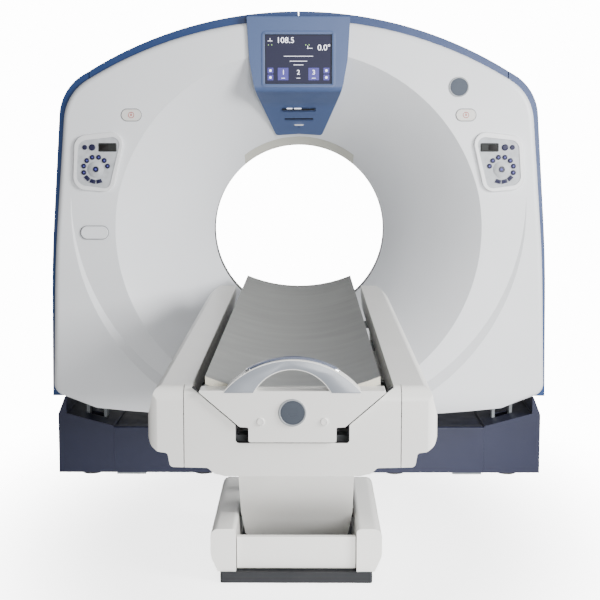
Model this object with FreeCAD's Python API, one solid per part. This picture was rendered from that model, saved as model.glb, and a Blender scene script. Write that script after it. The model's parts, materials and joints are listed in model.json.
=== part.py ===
import FreeCAD, Part
import math
import os

# CT scanner: a gantry that tilts on a floor base, and a patient table on two swing arms.
# Millimetres. X runs to the right seen from the table, Y into the gantry, Z up.
# The origin is on the floor, straight below the centre of the scan ring.

# ---- Driving dimensions: clearances and walls ----
SEAT = 0.3              # gap between pieces that rest on each other
RUN = 0.05              # radial clearance of a shaft in its hole
SKIN = 5.0              # moulded gantry covers
TABLE_SKIN = 4.0        # moulded table covers

# ---- Driving dimensions: gantry covers ----
ISO_Z = 1015.0          # scan axis above the floor
BORE_R = 350.0          # patient bore
WINDOW_HALF = 40.0      # half length of the scan window, where the bore is narrowest
FRONT_Y = -450.0        # flat of the front cover
REAR_Y = -FRONT_Y       # flat of the rear cover
FRONT_RIM_R = 708.0     # front flare where it meets the flat
REAR_RIM_R = 610.0
FLARE_START = 29.0      # degrees between the flare and the scan axis, at the throat
COVER_TOP_Z = 1838.0    # top of the front cover
COVER_HALF_W = 957.0    # half width at the foot
COVER_FOOT_Z = 409.0    # lowest corner of the sides
TOP_SLOPE = 30.6        # degrees, fall of the arched top where it meets the shoulder
SHOULDER_IN = 70.0      # shoulder corner, inward of the foot
SHOULDER_DROP = 274.0   # shoulder corner, below the top
SHOULDER_R = 190.0
WAIST_IN = 17.0         # waist corner, inward of the foot
WAIST_Z = 930.0
WAIST_R = 5000.0
FOOT_R = 50.0
KNEE_IN = 165.0         # where the foot's slope meets the belly
KNEE_DROP = 64.0
KNEE_R = 60.0
BELLY_DROP = 104.0      # belly's corner point below the knee
BELLY_R = 5900.0
EDGE_R = 22.0           # soft edge round the flat
ROLL_R = 120.0          # rolled lower edge
FLANGE = 32.0           # depth of the cover's perimeter wall
APRON_HALF_W = 776.0    # belly part that closes the gantry below
DISH_R = 872.0          # edge of the shallow dish round the flare
DISH_Z = 1115.0         # centre of the dish's edge
DISH_TOP_Z = 1178.0     # where the dish fades out
DISH_SLOPE = 0.026      # depth gained for each millimetre below that
LAP_TOP = 31.0          # blue covers stand this far above the front cover
LAP_SHOULDER = 18.0
LAP_SIDE = 13.0
LAP_FOOT = 5.0
LAP_START = -428.0      # front edge of the blue covers
SEAM_X = 796.0          # seam between top and side covers
SEAM_GAP = 3.0

# ---- Driving dimensions: gantry inside ----
ROTOR_R = 665.0
HUB_R = 535.0           # rotor hub, outside
HUB_WALL = 10.0
DISC_Y = 122.0          # front face of the rotor disc
DISC_T = 26.0
BEARING_W = 44.0
RACE_T = 22.0
RING_R = 700.0          # tilt frame ring, outside
RING_Y = 172.0
RING_T = 46.0
ARM_IN = 690.0          # tilt frame side arms
ARM_T = 60.0
ARM_HALF_H = 150.0
TRUNNION_R = 40.0
PILLAR_IN = 815.0       # base pillars, inner face
PILLAR_OUT = 900.0
PILLAR_PLATE = 12.0
PILLAR_HALF = 50.0
NECK_HALF = 25.0        # narrow part that the tilting covers pass
NECK_Z = 330.0
HEAD_R = 75.0
TUBE_ORBIT = 590.0      # X-ray tube from the scan axis
TUBE_R = 84.0
FOCUS_R = 541.0         # focal spot from the scan axis
DETECTOR_R = 949.0      # detector face from the focal spot
FAN_HALF = 27.5         # degrees, half the fan of rays
DRIVE_R = 50.0          # drive motor pulley
DRIVE_ORBIT = 792.0
DRIVE_ANGLE = 135.0     # degrees from +X, seen from the table
DRIVE_BODY_R = 78.0
BELT_T = 4.0
BELT_W = 18.0
GEAR_MODULE = 8.0
TOOTH_SHARE = 0.38      # tooth's share of the pitch, which leaves backlash
SECTOR_TEETH = 140      # teeth of the whole wheel that the sector is cut from
PINION_TEETH = 12
SECTOR_HALF = 37.0      # degrees
GEAR_X = -795.0         # middle of the tilt gears
GEAR_W = 18.0

# ---- Driving dimensions: gantry base ----
BASE_HALF_W = 1000.0
BASE_FRONT_Y = -140.0
BASE_REAR_Y = 330.0
BASE_SPLIT_Y = 95.0
SKIRT_Z = 9.0           # skirt above the floor
POD_IN = 768.0
POD_LOW_Z = 206.0
POD_HIGH_Z = 256.0
POD_EAR_Z = 328.0
POD_EAR_IN = 966.0
CENTRE_Z = 203.0        # centre cover at its front edge
CENTRE_BACK_Z = 197.0
BASE_WALL = 4.0
ANCHOR_X = 700.0
ANCHOR_Y = 100.0
ANCHOR_R = 11.0
BEAM_HALF_L = 940.0
BEAM_SIZE = 60.0
BEAM_LOW_Z = 30.0

# ---- Driving dimensions: table ----
TABLE_FOOT_Y = -2430.0  # fascia
TABLE_HEAD_Y = -447.0   # end beside the gantry
TABLE_HALF_W = 352.0
HEAD_HALF_W = 300.0     # half width at the head end
TAPER_Y = -950.0
TABLE_TOP_Z = 818.0
TABLE_TOP_RISE = 12.0   # top is this much higher at the head end
TABLE_BELLY_Z = 603.0
UNDERCUT_Y = -1060.0    # belly starts to rise here, to clear the tilted gantry
UNDERCUT_HEAD_Z = 796.0
CHANNEL_HALF_W = 240.0  # top opening that the cradle runs in
FASCIA_HALF_W = 256.7
FASCIA_SEAM = 2.0       # shadow line between fascia and side covers
BROW_R = 34.0           # rounded top edge over the fascia
TABLE_SKIM = 0.5        # taken off the drawn body's top and end as that edge is rounded
VEE_HALF_W = 135.0      # fascia notch, at the foot of its slopes
VEE_Z = 727.0
NOTCH_Z = 683.0
CRADLE_HALF_W = 210.0
CRADLE_Z = 835.0        # cradle edges
CRADLE_SAG = 42.0       # depth of the trough
CRADLE_T = 20.0
CRADLE_FOOT_Y = -2376.0
CRADLE_HEAD_Y = -131.0
RUNNER_IN = 196.0
RUNNER_W = 16.0
RAIL_TOP_Z = 779.0
CAP_DEPTH = 62.0        # cradle end cap
CAP_CLEAR = 4.5         # gap between the end cap and the slopes of its opening
GATE_TOP_DROP = 2.0     # opening's upper corners, below the table top
CAP_FOOT_HALF_W = 104.0
HANDLE_HALF_W = 178.0
HANDLE_FOOT_Z = 788.0
HANDLE_TOP_Z = 885.0
GRIP_HALF_W = 88.0
GRIP_Z = 810.0
GRIP_TOP_Z = 861.0
RELEASE_TRAVEL = 4.0
ARM_L = 690.0           # swing arms, pivot to pivot
ARM_RISE = 520.0        # height that they give at rest; the cradle's end cap passes over their tops
PIVOT_Z = 130.0
PIVOT_REAR_Y = -960.0
PIVOT_FRONT_Y = -1130.0
PIVOT_R = 15.0
SWING_HALF_W = 110.0
SWING_T = 56.0
BOSS_R = 32.0
CHEEK_IN = 200.0        # pivot plates
CHEEK_T = 14.0
SHIELD_FRONT = 86.0     # arm cover's face, ahead of the front arm
SHIELD_T = 6.0
PLINTH_HALF_W = 241.0
PLINTH_FRONT_Y = -1468.0
PLINTH_REAR_Y = -820.0
PLINTH_H = 35.0
LEG_IN = 191.0
LEG_OUT = 271.0
LEG_TOP_Z = 174.0
ROLLER_R = 18.0
ROLLER_Y = -600.0
FLOOR_DUCT_HALF_W = 100.0

# ---- Controls on the front cover ----
STOP_X = 635.0
STOP_Z = 1481.0
STOP_HALF_W = 37.0
STOP_R = 21.5
PAD_DEPTH = 13.0
PAD_RECESS = 3.0
PAD_KEY_X = 772.0       # centre of the ring of keys
PAD_KEY_Z = 1276.0
KEY_RING_R = 47.0
KEY_STEP = 30.0         # degrees between keys
KEY_START = -15.0       # degrees, outermost round key
TOP_KEYS = [(784.0, 12.0), (812.0, 9.0)]    # x and radius
TOP_KEY_Z = 1359.0
KEY_R = 9.2
CENTRE_KEY_R = 10.5
SCREEN_HALF_W = 126.0
SCREEN_LOW_Z = 1597.0
SCREEN_HIGH_Z = 1781.0
CONSOLE_SLOTS = [(68.0, 1504.0, 16.0), (58.0, 1467.0, 9.0)]     # half width, height above floor, opening
SLOT_DEPTH = 6.0

LEFT = -1
RIGHT = 1
FRONT = -1
REAR = 1
RAW = 3000.0            # larger than anything, for cutting blocks


# ---- Helpers ----
def vec(x, y, z):
    return FreeCAD.Vector(x, y, z)


ORIGIN = vec(0, 0, 0)
ISO = vec(0, 0, ISO_Z)
AXIS_X = vec(1, 0, 0)
AXIS_Y = vec(0, 1, 0)
AXIS_Z = vec(0, 0, 1)
PLANES = {
    "XZ": (lambda u, v: vec(u, 0, v), AXIS_Y),
    "YZ": (lambda u, v: vec(0, u, v), AXIS_X),
    "XY": (lambda u, v: vec(u, v, 0), AXIS_Z),
}


def outline(plane, corners):
    """Closed wire through (u, v, radius) corners, each rounded by a tangent arc."""
    place = PLANES[plane][0]
    points = [place(corner[0], corner[1]) for corner in corners]
    turns = []
    for i, here in enumerate(points):
        radius = corners[i][2]
        back = (points[i - 1] - here).normalize()
        ahead = (points[(i + 1) % len(points)] - here).normalize()
        half = back.getAngle(ahead) / 2
        if radius == 0 or half > math.radians(89.99):
            turns.append((here, None, here))
            continue
        reach = radius / math.tan(half)
        middle = here + (back + ahead).normalize() * (radius / math.sin(half) - radius)
        turns.append((here + back * reach, middle, here + ahead * reach))
    edges = []
    for i, (start, middle, end) in enumerate(turns):
        if middle is not None:
            edges.append(Part.Arc(start, middle, end).toShape())
        following = turns[(i + 1) % len(turns)][0]
        if end.distanceToPoint(following) > 1e-6:
            edges.append(Part.LineSegment(end, following).toShape())
    return Part.Wire(edges)


def prism(plane, corners, start, end, inset=0.0):
    """Solid with the outline, drawn in by inset, from start to end along the plane's normal."""
    normal = PLANES[plane][1]
    wire = outline(plane, corners)
    if inset:
        wire = wire.makeOffset2D(-inset)
    face = Part.Face(wire)
    face.translate(normal * start)
    return face.extrude(normal * (end - start))


def box(x0, x1, y0, y1, z0, z1):
    return Part.makeBox(x1 - x0, y1 - y0, z1 - z0, vec(x0, y0, z0))


def both_sides(x0, x1, y0, y1, z0, z1):
    """The same box on the right and on the left."""
    right = box(x0, x1, y0, y1, z0, z1)
    return [right, mirrored(right)]


def rod_x(radius, x0, x1, y, z):
    return Part.makeCylinder(radius, x1 - x0, vec(x0, y, z), AXIS_X)


def rod_y(radius, y0, y1, x=0.0, z=ISO_Z):
    return Part.makeCylinder(radius, y1 - y0, vec(x, y0, z), AXIS_Y)


def rod_z(radius, z0, z1, x, y):
    return Part.makeCylinder(radius, z1 - z0, vec(x, y, z0), AXIS_Z)


def ring(outer, inner, y0, y1):
    """Ring about the scan axis."""
    return rod_y(outer, y0, y1).cut(rod_y(inner, y0 - 1, y1 + 1))


def mirrored(shape):
    return shape.mirror(ORIGIN, AXIS_X)


def handed(shape, side):
    """A shape drawn on the right, put on the given side."""
    return shape if side == RIGHT else mirrored(shape)


def fused(shapes):
    first, rest = shapes[0], shapes[1:]
    return first.fuse(rest).removeSplitter() if rest else first


def sector_block(r0, r1, y0, y1, start, end):
    """Part of a ring about the scan axis, between two angles from +X, seen from the table."""
    block = Part.makeCylinder(r1, y1 - y0, ORIGIN, AXIS_Z, end - start)
    block = block.cut(Part.makeCylinder(r0, y1 - y0 + 2, vec(0, 0, -1), AXIS_Z))
    block.rotate(ORIGIN, AXIS_Z, start)
    block.rotate(ORIGIN, AXIS_X, 90)
    block.translate(vec(0, y1, ISO_Z))
    return block


def pill(x, z, half_w, radius, y0, y1):
    """Bar with round ends, lying across the front."""
    corners = [(x - half_w, z - radius, radius), (x + half_w, z - radius, radius),
               (x + half_w, z + radius, radius), (x - half_w, z + radius, radius)]
    tight = [(u, v, r - 0.001) for u, v, r in corners]
    return prism("XZ", tight, y0, y1)


# ---- Flares of the bore ----
def flare_arc(side):
    """Centre (y, r) and radius of a flare's arc, in the half plane above the scan axis."""
    throat = side * WINDOW_HALF
    run = (REAR_Y if side == REAR else -FRONT_Y) - WINDOW_HALF
    rise = (REAR_RIM_R if side == REAR else FRONT_RIM_R) - BORE_R
    lean = math.radians(FLARE_START)
    radius = (run ** 2 + rise ** 2) / (2 * (rise * math.cos(lean) - run * math.sin(lean)))
    return throat - side * radius * math.sin(lean), BORE_R + radius * math.cos(lean), radius


def flare_radius(side, y, grow=0.0):
    """Radius of the flare at y, measured on the surface moved outward by grow."""
    centre_y, centre_r, radius = flare_arc(side)
    return centre_r - math.sqrt((radius - grow) ** 2 - (y - centre_y) ** 2)


def flare_plug(side, grow, reach):
    """Solid that fills the flare out to y = reach, with its surface moved outward by grow."""
    throat = side * WINDOW_HALF
    stub = throat - side * WINDOW_HALF / 2
    throat_r = flare_radius(side, throat, grow)
    profile = [(stub, 0), (stub, throat_r), (throat, throat_r)]
    middle = (throat + reach) / 2
    points = [vec(0, y, ISO_Z + r) for y, r in profile]
    rim = vec(0, reach, ISO_Z + flare_radius(side, reach, grow))
    edges = [Part.LineSegment(points[0], points[1]).toShape(),
             Part.LineSegment(points[1], points[2]).toShape(),
             Part.Arc(points[2], vec(0, middle, ISO_Z + flare_radius(side, middle, grow)), rim).toShape(),
             Part.LineSegment(rim, vec(0, reach, ISO_Z)).toShape(),
             Part.LineSegment(vec(0, reach, ISO_Z), points[0]).toShape()]
    return Part.Face(Part.Wire(edges)).revolve(ISO, AXIS_Y, 360)


# ---- Gantry covers ----
def arch(top_z, shoulder_x, shoulder_z):
    """Corner above the middle of the arched top, with the radius that brings the arch to top_z."""
    corner_z = shoulder_z + shoulder_x * math.tan(math.radians(TOP_SLOPE))
    radius = (corner_z - top_z) / (1 / math.cos(math.radians(TOP_SLOPE)) - 1)
    return (0, corner_z, radius)


def white_outline():
    """Front view of the white covers."""
    shoulder = (COVER_HALF_W - SHOULDER_IN, COVER_TOP_Z - SHOULDER_DROP, SHOULDER_R)
    knee_z = COVER_FOOT_Z - KNEE_DROP
    right = [shoulder,
             (COVER_HALF_W - WAIST_IN, WAIST_Z, WAIST_R),
             (COVER_HALF_W, COVER_FOOT_Z, FOOT_R),
             (COVER_HALF_W - KNEE_IN, knee_z, KNEE_R)]
    left = [(-x, z, r) for x, z, r in reversed(right)]
    return [arch(COVER_TOP_Z, shoulder[0], shoulder[1])] + right + [(0, knee_z - BELLY_DROP, BELLY_R)] + left


def blue_outline(foot_z):
    """Front view of the blue covers, which lap over the white ones and end open at foot_z."""
    shoulder = (COVER_HALF_W - SHOULDER_IN + LAP_SHOULDER, COVER_TOP_Z - SHOULDER_DROP + LAP_SHOULDER,
                SHOULDER_R)
    right = [shoulder,
             (COVER_HALF_W - WAIST_IN + LAP_SIDE, WAIST_Z, WAIST_R),
             (COVER_HALF_W + LAP_FOOT, foot_z, 0)]
    left = [(-x, z, r) for x, z, r in reversed(right)]
    return [arch(COVER_TOP_Z + LAP_TOP, shoulder[0], shoulder[1])] + right + left


def belly_z():
    """Lowest point of the white covers."""
    knee_x = COVER_HALF_W - KNEE_IN
    slope = math.atan2(BELLY_DROP, knee_x)
    return COVER_FOOT_Z - KNEE_DROP - BELLY_DROP + BELLY_R * (1 / math.cos(slope) - 1)


def soften(shape, y, radius):
    """Round all the edges that lie in the plane at y."""
    edges = [e for e in shape.Edges if abs(e.BoundBox.YMin - y) < 1e-4 and abs(e.BoundBox.YMax - y) < 1e-4]
    return shape.makeFillet(radius, edges)


def end_block(side, inset):
    """Outer form of an end cover, or with an inset its hollow: flat, perimeter wall and rolled belly."""
    spare = 1.0 if inset else 0.0
    near = FRONT_Y + inset
    dish = prism("XZ", white_outline(), near, FRONT_Y + FLANGE + spare, inset)
    dish = soften(dish, near, EDGE_R - inset)
    belly = prism("XZ", white_outline(), near, spare - SEAT, inset)
    band_z = belly_z() + ROLL_R
    band = APRON_HALF_W - inset
    belly = belly.common(box(-band, band, -RAW, RAW, 0, band_z + spare))
    pivot_y = FRONT_Y + ROLL_R
    corner = box(-RAW, RAW, -RAW, pivot_y, -RAW, band_z)
    corner = corner.cut(rod_x(ROLL_R - inset, -RAW, RAW, pivot_y, band_z))
    whole = dish.fuse(belly).cut(corner)
    return whole if side == FRONT else whole.mirror(ORIGIN, AXIS_Y)


def dish_block(grow):
    """Shallow dish round the front flare: a leaning floor inside a round, sloping edge."""
    low_z = 0.0
    y_top = FRONT_Y + grow
    y_low = y_top + (DISH_TOP_Z - low_z) * DISH_SLOPE
    wedge = prism("YZ", [(FRONT_Y - 10, DISH_TOP_Z + grow, 0), (FRONT_Y - 10, low_z, 0),
                         (y_low, low_z, 0), (y_top, DISH_TOP_Z, 0)], -RAW, RAW)
    depth = y_low - FRONT_Y + 20
    cone = Part.makeCone(DISH_R + grow + 20, DISH_R + grow + 20 - 2 * depth, depth,
                         vec(0, FRONT_Y - 10, DISH_Z), AXIS_Y)
    return wedge.common(cone)


def laser_zone(grow):
    """Crescent at the top of the throat, seen from the front."""
    eccentric = 17.0
    reach = BORE_R + eccentric + grow
    half_w = 222.0 + grow
    disc = rod_y(reach, -220, -WINDOW_HALF - SEAT, 0, ISO_Z + eccentric)
    return disc.common(box(-half_w, half_w, -RAW, 0, ISO_Z + 255 - grow, RAW))


def front_cover():
    wall = flare_plug(FRONT, SKIN, FRONT_Y).cut(flare_plug(FRONT, 0, FRONT_Y - 2))
    wall = wall.common(box(-RAW, RAW, FRONT_Y, -WINDOW_HALF - SEAT, 0, RAW))
    block = end_block(FRONT, 0)
    shell = block.cut(end_block(FRONT, SKIN))
    shell = shell.fuse(dish_block(SKIN).common(block))
    shell = shell.fuse(wall)
    shell = shell.cut(flare_plug(FRONT, 0, FRONT_Y - 2))
    shell = shell.cut(dish_block(0))
    for side in (LEFT, RIGHT):
        hole = pill(side * STOP_X, STOP_Z, STOP_HALF_W + 0.5, STOP_R + 0.5, FRONT_Y - 9, FRONT_Y + 9)
        shell = shell.cut(hole)
    return shell.cut(laser_zone(0.5))


def laser_window():
    wall = flare_plug(FRONT, SKIN, FRONT_Y).cut(flare_plug(FRONT, 0, FRONT_Y - 2))
    return wall.common(laser_zone(0))


def rear_cover():
    wall = flare_plug(REAR, SKIN, REAR_Y).cut(flare_plug(REAR, 0, REAR_Y + 2))
    wall = wall.common(box(-RAW, RAW, WINDOW_HALF + SEAT, REAR_Y, 0, RAW))
    shell = end_block(REAR, 0).cut(end_block(REAR, SKIN))
    return shell.fuse(wall).cut(flare_plug(REAR, 0, REAR_Y + 2))


def blue_shell():
    """The four blue covers before they are parted: a wrap with an inward lip at each end."""
    foot = COVER_FOOT_Z - 17
    start, end = LAP_START, -LAP_START
    wrap = prism("XZ", blue_outline(foot), start, end)
    wrap = wrap.cut(prism("XZ", blue_outline(foot - 60), start + SKIN, end - SKIN, SKIN))
    return wrap.cut(prism("XZ", white_outline(), start - 1, end + 1, -SEAT)).cut(
        box(-RAW, RAW, -RAW, RAW, -RAW, foot + 1))


def top_cover(side):
    gap = SEAM_GAP / 2
    return blue_shell().common(handed(box(gap, SEAM_X - gap, -RAW, RAW, ISO_Z, RAW), side))


def side_cover(side):
    gap = SEAM_GAP / 2
    return blue_shell().common(handed(box(SEAM_X + gap, RAW, -RAW, RAW, 0, RAW), side))


def scan_window():
    return ring(BORE_R + SKIN, BORE_R, -WINDOW_HALF, WINDOW_HALF)


def display_console():
    """Blue console that runs from the top edge down the flare to the bore."""
    proud = 12.0
    face_y = FRONT_Y - proud
    right = [(195, COVER_TOP_Z + 12, 8), (186, 1690, 300), (166, 1575, 300), (92, 1404, 14)]
    front = right + [(0, 1410, 0)] + [(-x, z, r) for x, z, r in reversed(right)]
    lean = [(face_y, COVER_TOP_Z + 12, 6), (face_y, SCREEN_LOW_Z - 24, 26),
            (-330, 1522, 250), (-128, 1403, 5),
            (-90, 1403, 0), (LAP_START - SEAT, 1700, 0), (LAP_START - SEAT, COVER_TOP_Z + 12, 0)]
    body = prism("XZ", front, -RAW, RAW).common(prism("YZ", lean, -RAW, RAW))
    below_top = box(-RAW, RAW, -RAW, RAW, 0, COVER_TOP_Z + 1)
    body = body.cut(ring(RAW, FRONT_RIM_R, FRONT_Y, 0).common(below_top))
    inside = flare_plug(FRONT, -SEAT, FRONT_Y).fuse(box(-RAW, RAW, -RAW, FRONT_Y, 0, RAW)).fuse(
        box(-RAW, RAW, -RAW, 0, COVER_TOP_Z + 1, RAW))
    body = body.common(inside)
    body = body.cut(box(-SCREEN_HALF_W, SCREEN_HALF_W, face_y - 1, face_y + 9, SCREEN_LOW_Z, SCREEN_HIGH_Z))
    for half_w, z, height in CONSOLE_SLOTS:
        slot = pill(0, z, half_w, height / 2, -RAW, 0)
        body = body.cut(slot.cut(prism("YZ", deepened(lean, SLOT_DEPTH), -RAW, RAW)))
    return body


def deepened(profile, depth):
    """The console's side profile with its front face moved back."""
    return [(y + depth if i < 4 else y, z, r) for i, (y, z, r) in enumerate(profile)]


def display_screen():
    face_y = FRONT_Y - 12
    clear = 0.4
    return box(-SCREEN_HALF_W + clear, SCREEN_HALF_W - clear, face_y + 4, face_y + 9,
               SCREEN_LOW_Z + clear, SCREEN_HIGH_Z - clear)


def pad_outline():
    """Keypad housing, drawn on the right-hand side."""
    return [(653, 1424, 46), (708, 1188, 46), (862, 1200, 50), (852, 1402, 50)]


def pad_plate():
    """Recess in the keypad housing that the key mat fills."""
    return [(671, 1402, 28), (722, 1201, 26), (848, 1219, 36), (836, 1384, 36)]


def keypad_housing(side):
    body = prism("XZ", pad_outline(), FRONT_Y - PAD_DEPTH, FRONT_Y)
    edges = [e for e in body.Edges if abs(e.BoundBox.YMax - FRONT_Y + PAD_DEPTH) < 1e-4]
    body = body.makeFillet(4, edges)
    recess = prism("XZ", pad_plate(), FRONT_Y - PAD_DEPTH - 1, FRONT_Y - PAD_DEPTH + PAD_RECESS + 3)
    key = rod_y(CENTRE_KEY_R + 0.5, FRONT_Y - PAD_DEPTH, FRONT_Y - 2, PAD_KEY_X, PAD_KEY_Z)
    return handed(body.cut(recess).cut(key), side)


def keypad_mat(side):
    """Moulded key mat: plate and keys in one piece."""
    face = FRONT_Y - PAD_DEPTH + PAD_RECESS
    mat = prism("XZ", pad_plate(), face, face + 3, SEAT)
    top = face - 3
    keys = []
    for i in range(7):
        angle = math.radians(KEY_START + i * KEY_STEP)
        keys.append(rod_y(KEY_R, top, face + 1, PAD_KEY_X + KEY_RING_R * math.cos(angle),
                          PAD_KEY_Z + KEY_RING_R * math.sin(angle)))
    for i in range(3):
        angle = math.radians(KEY_START - (i + 1) * KEY_STEP)
        key = box(-KEY_R, KEY_R, top, face + 1, -7, 7)
        key.rotate(ORIGIN, AXIS_Y, 90 - math.degrees(angle))
        key.translate(vec(PAD_KEY_X + KEY_RING_R * math.cos(angle), 0,
                          PAD_KEY_Z + KEY_RING_R * math.sin(angle)))
        keys.append(key)
    for x, radius in TOP_KEYS:
        keys.append(rod_y(radius, top, face + 1, x, TOP_KEY_Z))
    pad = rod_y(31, face - 1.5, face + 1, PAD_KEY_X, PAD_KEY_Z)
    mat = fused([mat, pad] + keys)
    hole = rod_y(CENTRE_KEY_R + 0.5, face - 5, face + 5, PAD_KEY_X, PAD_KEY_Z)
    return handed(mat.cut(hole), side)


def keypad_key(side):
    """Separate hard key in the middle of the ring of keys."""
    face = FRONT_Y - PAD_DEPTH + PAD_RECESS
    key = rod_y(CENTRE_KEY_R, face - 4, face + 5, PAD_KEY_X, PAD_KEY_Z)
    edges = [e for e in key.Edges if abs(e.BoundBox.YMax - face + 4) < 1e-4]
    return handed(key.makeFillet(1.5, edges), side)


def stop_button(side):
    body = pill(STOP_X, STOP_Z, STOP_HALF_W - 0.01, STOP_R, FRONT_Y - 3, FRONT_Y + 4)
    edges = [e for e in body.Edges if abs(e.BoundBox.YMax - FRONT_Y + 3) < 1e-4]
    return handed(body.makeFillet(1.5, edges), side)


# ---- Tilting frame and drive ----
def drive_centre():
    angle = math.radians(DRIVE_ANGLE)
    return DRIVE_ORBIT * math.cos(angle), ISO_Z + DRIVE_ORBIT * math.sin(angle)


def inner_wrap(clear):
    """Space inside the blue covers, less a clearance."""
    return prism("XZ", blue_outline(COVER_FOOT_Z - 60), LAP_START + 20, -LAP_START - 20, SKIN + clear)


def tilt_frame():
    """Ring that carries the main bearing, side arms, trunnions and cover brackets."""
    race_out = HUB_R + 2 * RACE_T + SEAT
    ring_end = RING_Y + RING_T
    pieces = [ring(RING_R, race_out, RING_Y, ring_end)]
    arm_out = ARM_IN + ARM_T
    post_out = arm_out + 24
    for side in (LEFT, RIGHT):
        arm = box(ARM_IN, arm_out, -60, ring_end, ISO_Z - ARM_HALF_H, ISO_Z + ARM_HALF_H)
        post = box(arm_out - 6, post_out, RING_Y, ring_end, 500, 1560)
        tie_low = box(RING_R - 190, post_out, RING_Y, ring_end, 560, 600)
        tie_high = box(RING_R - 190, post_out, RING_Y, ring_end, 1430, 1470)
        shaft = rod_x(TRUNNION_R, arm_out - 10, PILLAR_OUT + 5, 0, ISO_Z)
        outrigger = box(post_out - 6, RAW, RING_Y + 8, ring_end - 8, 1250, 1290)
        outrigger = outrigger.common(inner_wrap(SEAT))
        riser = box(280, 320, RING_Y + 8, ring_end - 8, ISO_Z + 600, RAW).common(inner_wrap(SEAT))
        studs = [rod_y(12, FRONT_Y + SKIN + SEAT, RING_Y + 5, 760, z) for z in (520, 1520)]
        studs += [rod_y(12, ring_end - 5, REAR_Y - SKIN - SEAT, 760, z) for z in (520, 1520)]
        for piece in [arm, post, tie_low, tie_high, shaft, outrigger, riser] + studs:
            pieces.append(handed(piece, side))
    x, z = drive_centre()
    lug = rod_y(DRIVE_BODY_R + 20, RING_Y, ring_end, x, z)
    bridge = box(0, DRIVE_ORBIT - RING_R + 60, RING_Y, ring_end, -60, 60)
    bridge.translate(vec(RING_R - 60, 0, 0))
    bridge.rotate(ORIGIN, AXIS_Y, -DRIVE_ANGLE)
    bridge.translate(vec(0, 0, ISO_Z))
    frame = fused(pieces + [lug, bridge])
    frame = frame.cut(rod_y(race_out, RING_Y - 1, ring_end + 1))
    return frame.cut(rod_y(14, RING_Y - 1, ring_end + 1, x, z))


def main_bearing():
    """Outer race, held in the tilt frame."""
    inner = HUB_R + RACE_T + SEAT
    return ring(inner + RACE_T, inner, RING_Y + 1, RING_Y + 1 + BEARING_W)


def drive_motor():
    x, z = drive_centre()
    start = RING_Y + RING_T
    body = rod_y(DRIVE_BODY_R, start, start + 150, x, z)
    cap = rod_y(DRIVE_BODY_R - 8, start + 150, start + 172, x, z)
    boxy = box(x - 45, x + 45, start + 30, start + 120, z - DRIVE_BODY_R - 26, z)
    return fused([body, cap, boxy])


def motor_pulley():
    """Pulley with its shaft, which runs back through the tilt frame into the motor."""
    x, z = drive_centre()
    face = DISC_Y + (DISC_T - BELT_W) / 2
    wheel = rod_y(DRIVE_R, face, face + BELT_W, x, z)
    flanges = [rod_y(DRIVE_R + 8, y, y + 3, x, z) for y in (face - 3, face + BELT_W)]
    shaft = rod_y(13, face, RING_Y + RING_T - SEAT, x, z)
    return fused([wheel, shaft] + flanges)


def belt_loop(grow, y0, y1):
    """Solid inside a belt line that wraps the rotor rim and the motor pulley, grown outward."""
    big = ROTOR_R + grow
    small = DRIVE_R + grow
    lean = math.asin((big - small) / DRIVE_ORBIT)
    tops = []
    for turn in (1, -1):
        angle = turn * (math.pi / 2 - lean)
        tops.append((big * math.cos(angle), big * math.sin(angle)))
        tops.append((DRIVE_ORBIT + small * math.cos(angle), small * math.sin(angle)))
    web = Part.makePolygon([vec(x, 0, z) for x, z in (tops[0], tops[1], tops[3], tops[2], tops[0])])
    web = Part.Face(web).extrude(vec(0, y1 - y0, 0))
    web.translate(vec(0, y0, 0))
    wheel = Part.makeCylinder(big, y1 - y0, vec(0, y0, 0), AXIS_Y)
    small_wheel = Part.makeCylinder(small, y1 - y0, vec(DRIVE_ORBIT, y0, 0), AXIS_Y)
    loop = fused([web, wheel, small_wheel])
    loop.rotate(ORIGIN, AXIS_Y, -DRIVE_ANGLE)
    loop.translate(ISO)
    return loop


def drive_belt():
    face = DISC_Y + (DISC_T - BELT_W) / 2 + 1
    width = BELT_W - 2
    return belt_loop(SEAT + BELT_T, face, face + width).cut(belt_loop(SEAT, face - 1, face + width + 1))


def brush_block():
    """Brushes that feed the slip ring, on a foot bolted to the tilt frame."""
    start = RING_Y + RING_T
    foot = box(-40, 40, start, start + 12, ISO_Z + 650, ISO_Z + 695)
    body = box(-35, 35, start, start + 66, ISO_Z + 644.4, ISO_Z + 680)
    return foot.fuse(body)


# ---- Rotor ----
def rotor_drum():
    """Disc that carries the tube and detector, with the hub that turns in the bearing."""
    disc = ring(ROTOR_R, 445, DISC_Y, DISC_Y + DISC_T)
    hub_end = RING_Y + RING_T + 70
    hub = ring(HUB_R, HUB_R - HUB_WALL, DISC_Y + DISC_T - 1, hub_end)
    race = ring(HUB_R + RACE_T, HUB_R - 1, RING_Y + 1, RING_Y + 1 + BEARING_W)
    return fused([disc, hub, race])


def slip_ring():
    start = RING_Y + RING_T + 16
    body = ring(640, HUB_R, start, start + 44)
    for i in range(4):
        groove = ring(641, 636, start + 5 + i * 10, start + 9 + i * 10)
        body = body.cut(groove)
    return body


def xray_tube():
    """Tube housing along the scan axis, with its mounting saddle."""
    z = ISO_Z + TUBE_ORBIT
    body = rod_y(TUBE_R, -170, DISC_Y - SEAT, 0, z)
    end = rod_y(TUBE_R - 24, -205, -170, 0, z)
    saddle = box(-110, 110, DISC_Y - 30, DISC_Y, z - 60, z + 50)
    return fused([body, end, saddle]).cut(box(-60, 60, -25, 25, 0, ISO_Z + FOCUS_R - 20))


def collimator():
    top = ISO_Z + TUBE_ORBIT - TUBE_R - SEAT
    low = top - 70
    body = box(-130, 130, -70, DISC_Y, low, top)
    return body.cut(box(-90, 90, -25, 25, low - 1, top + 1))


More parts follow.
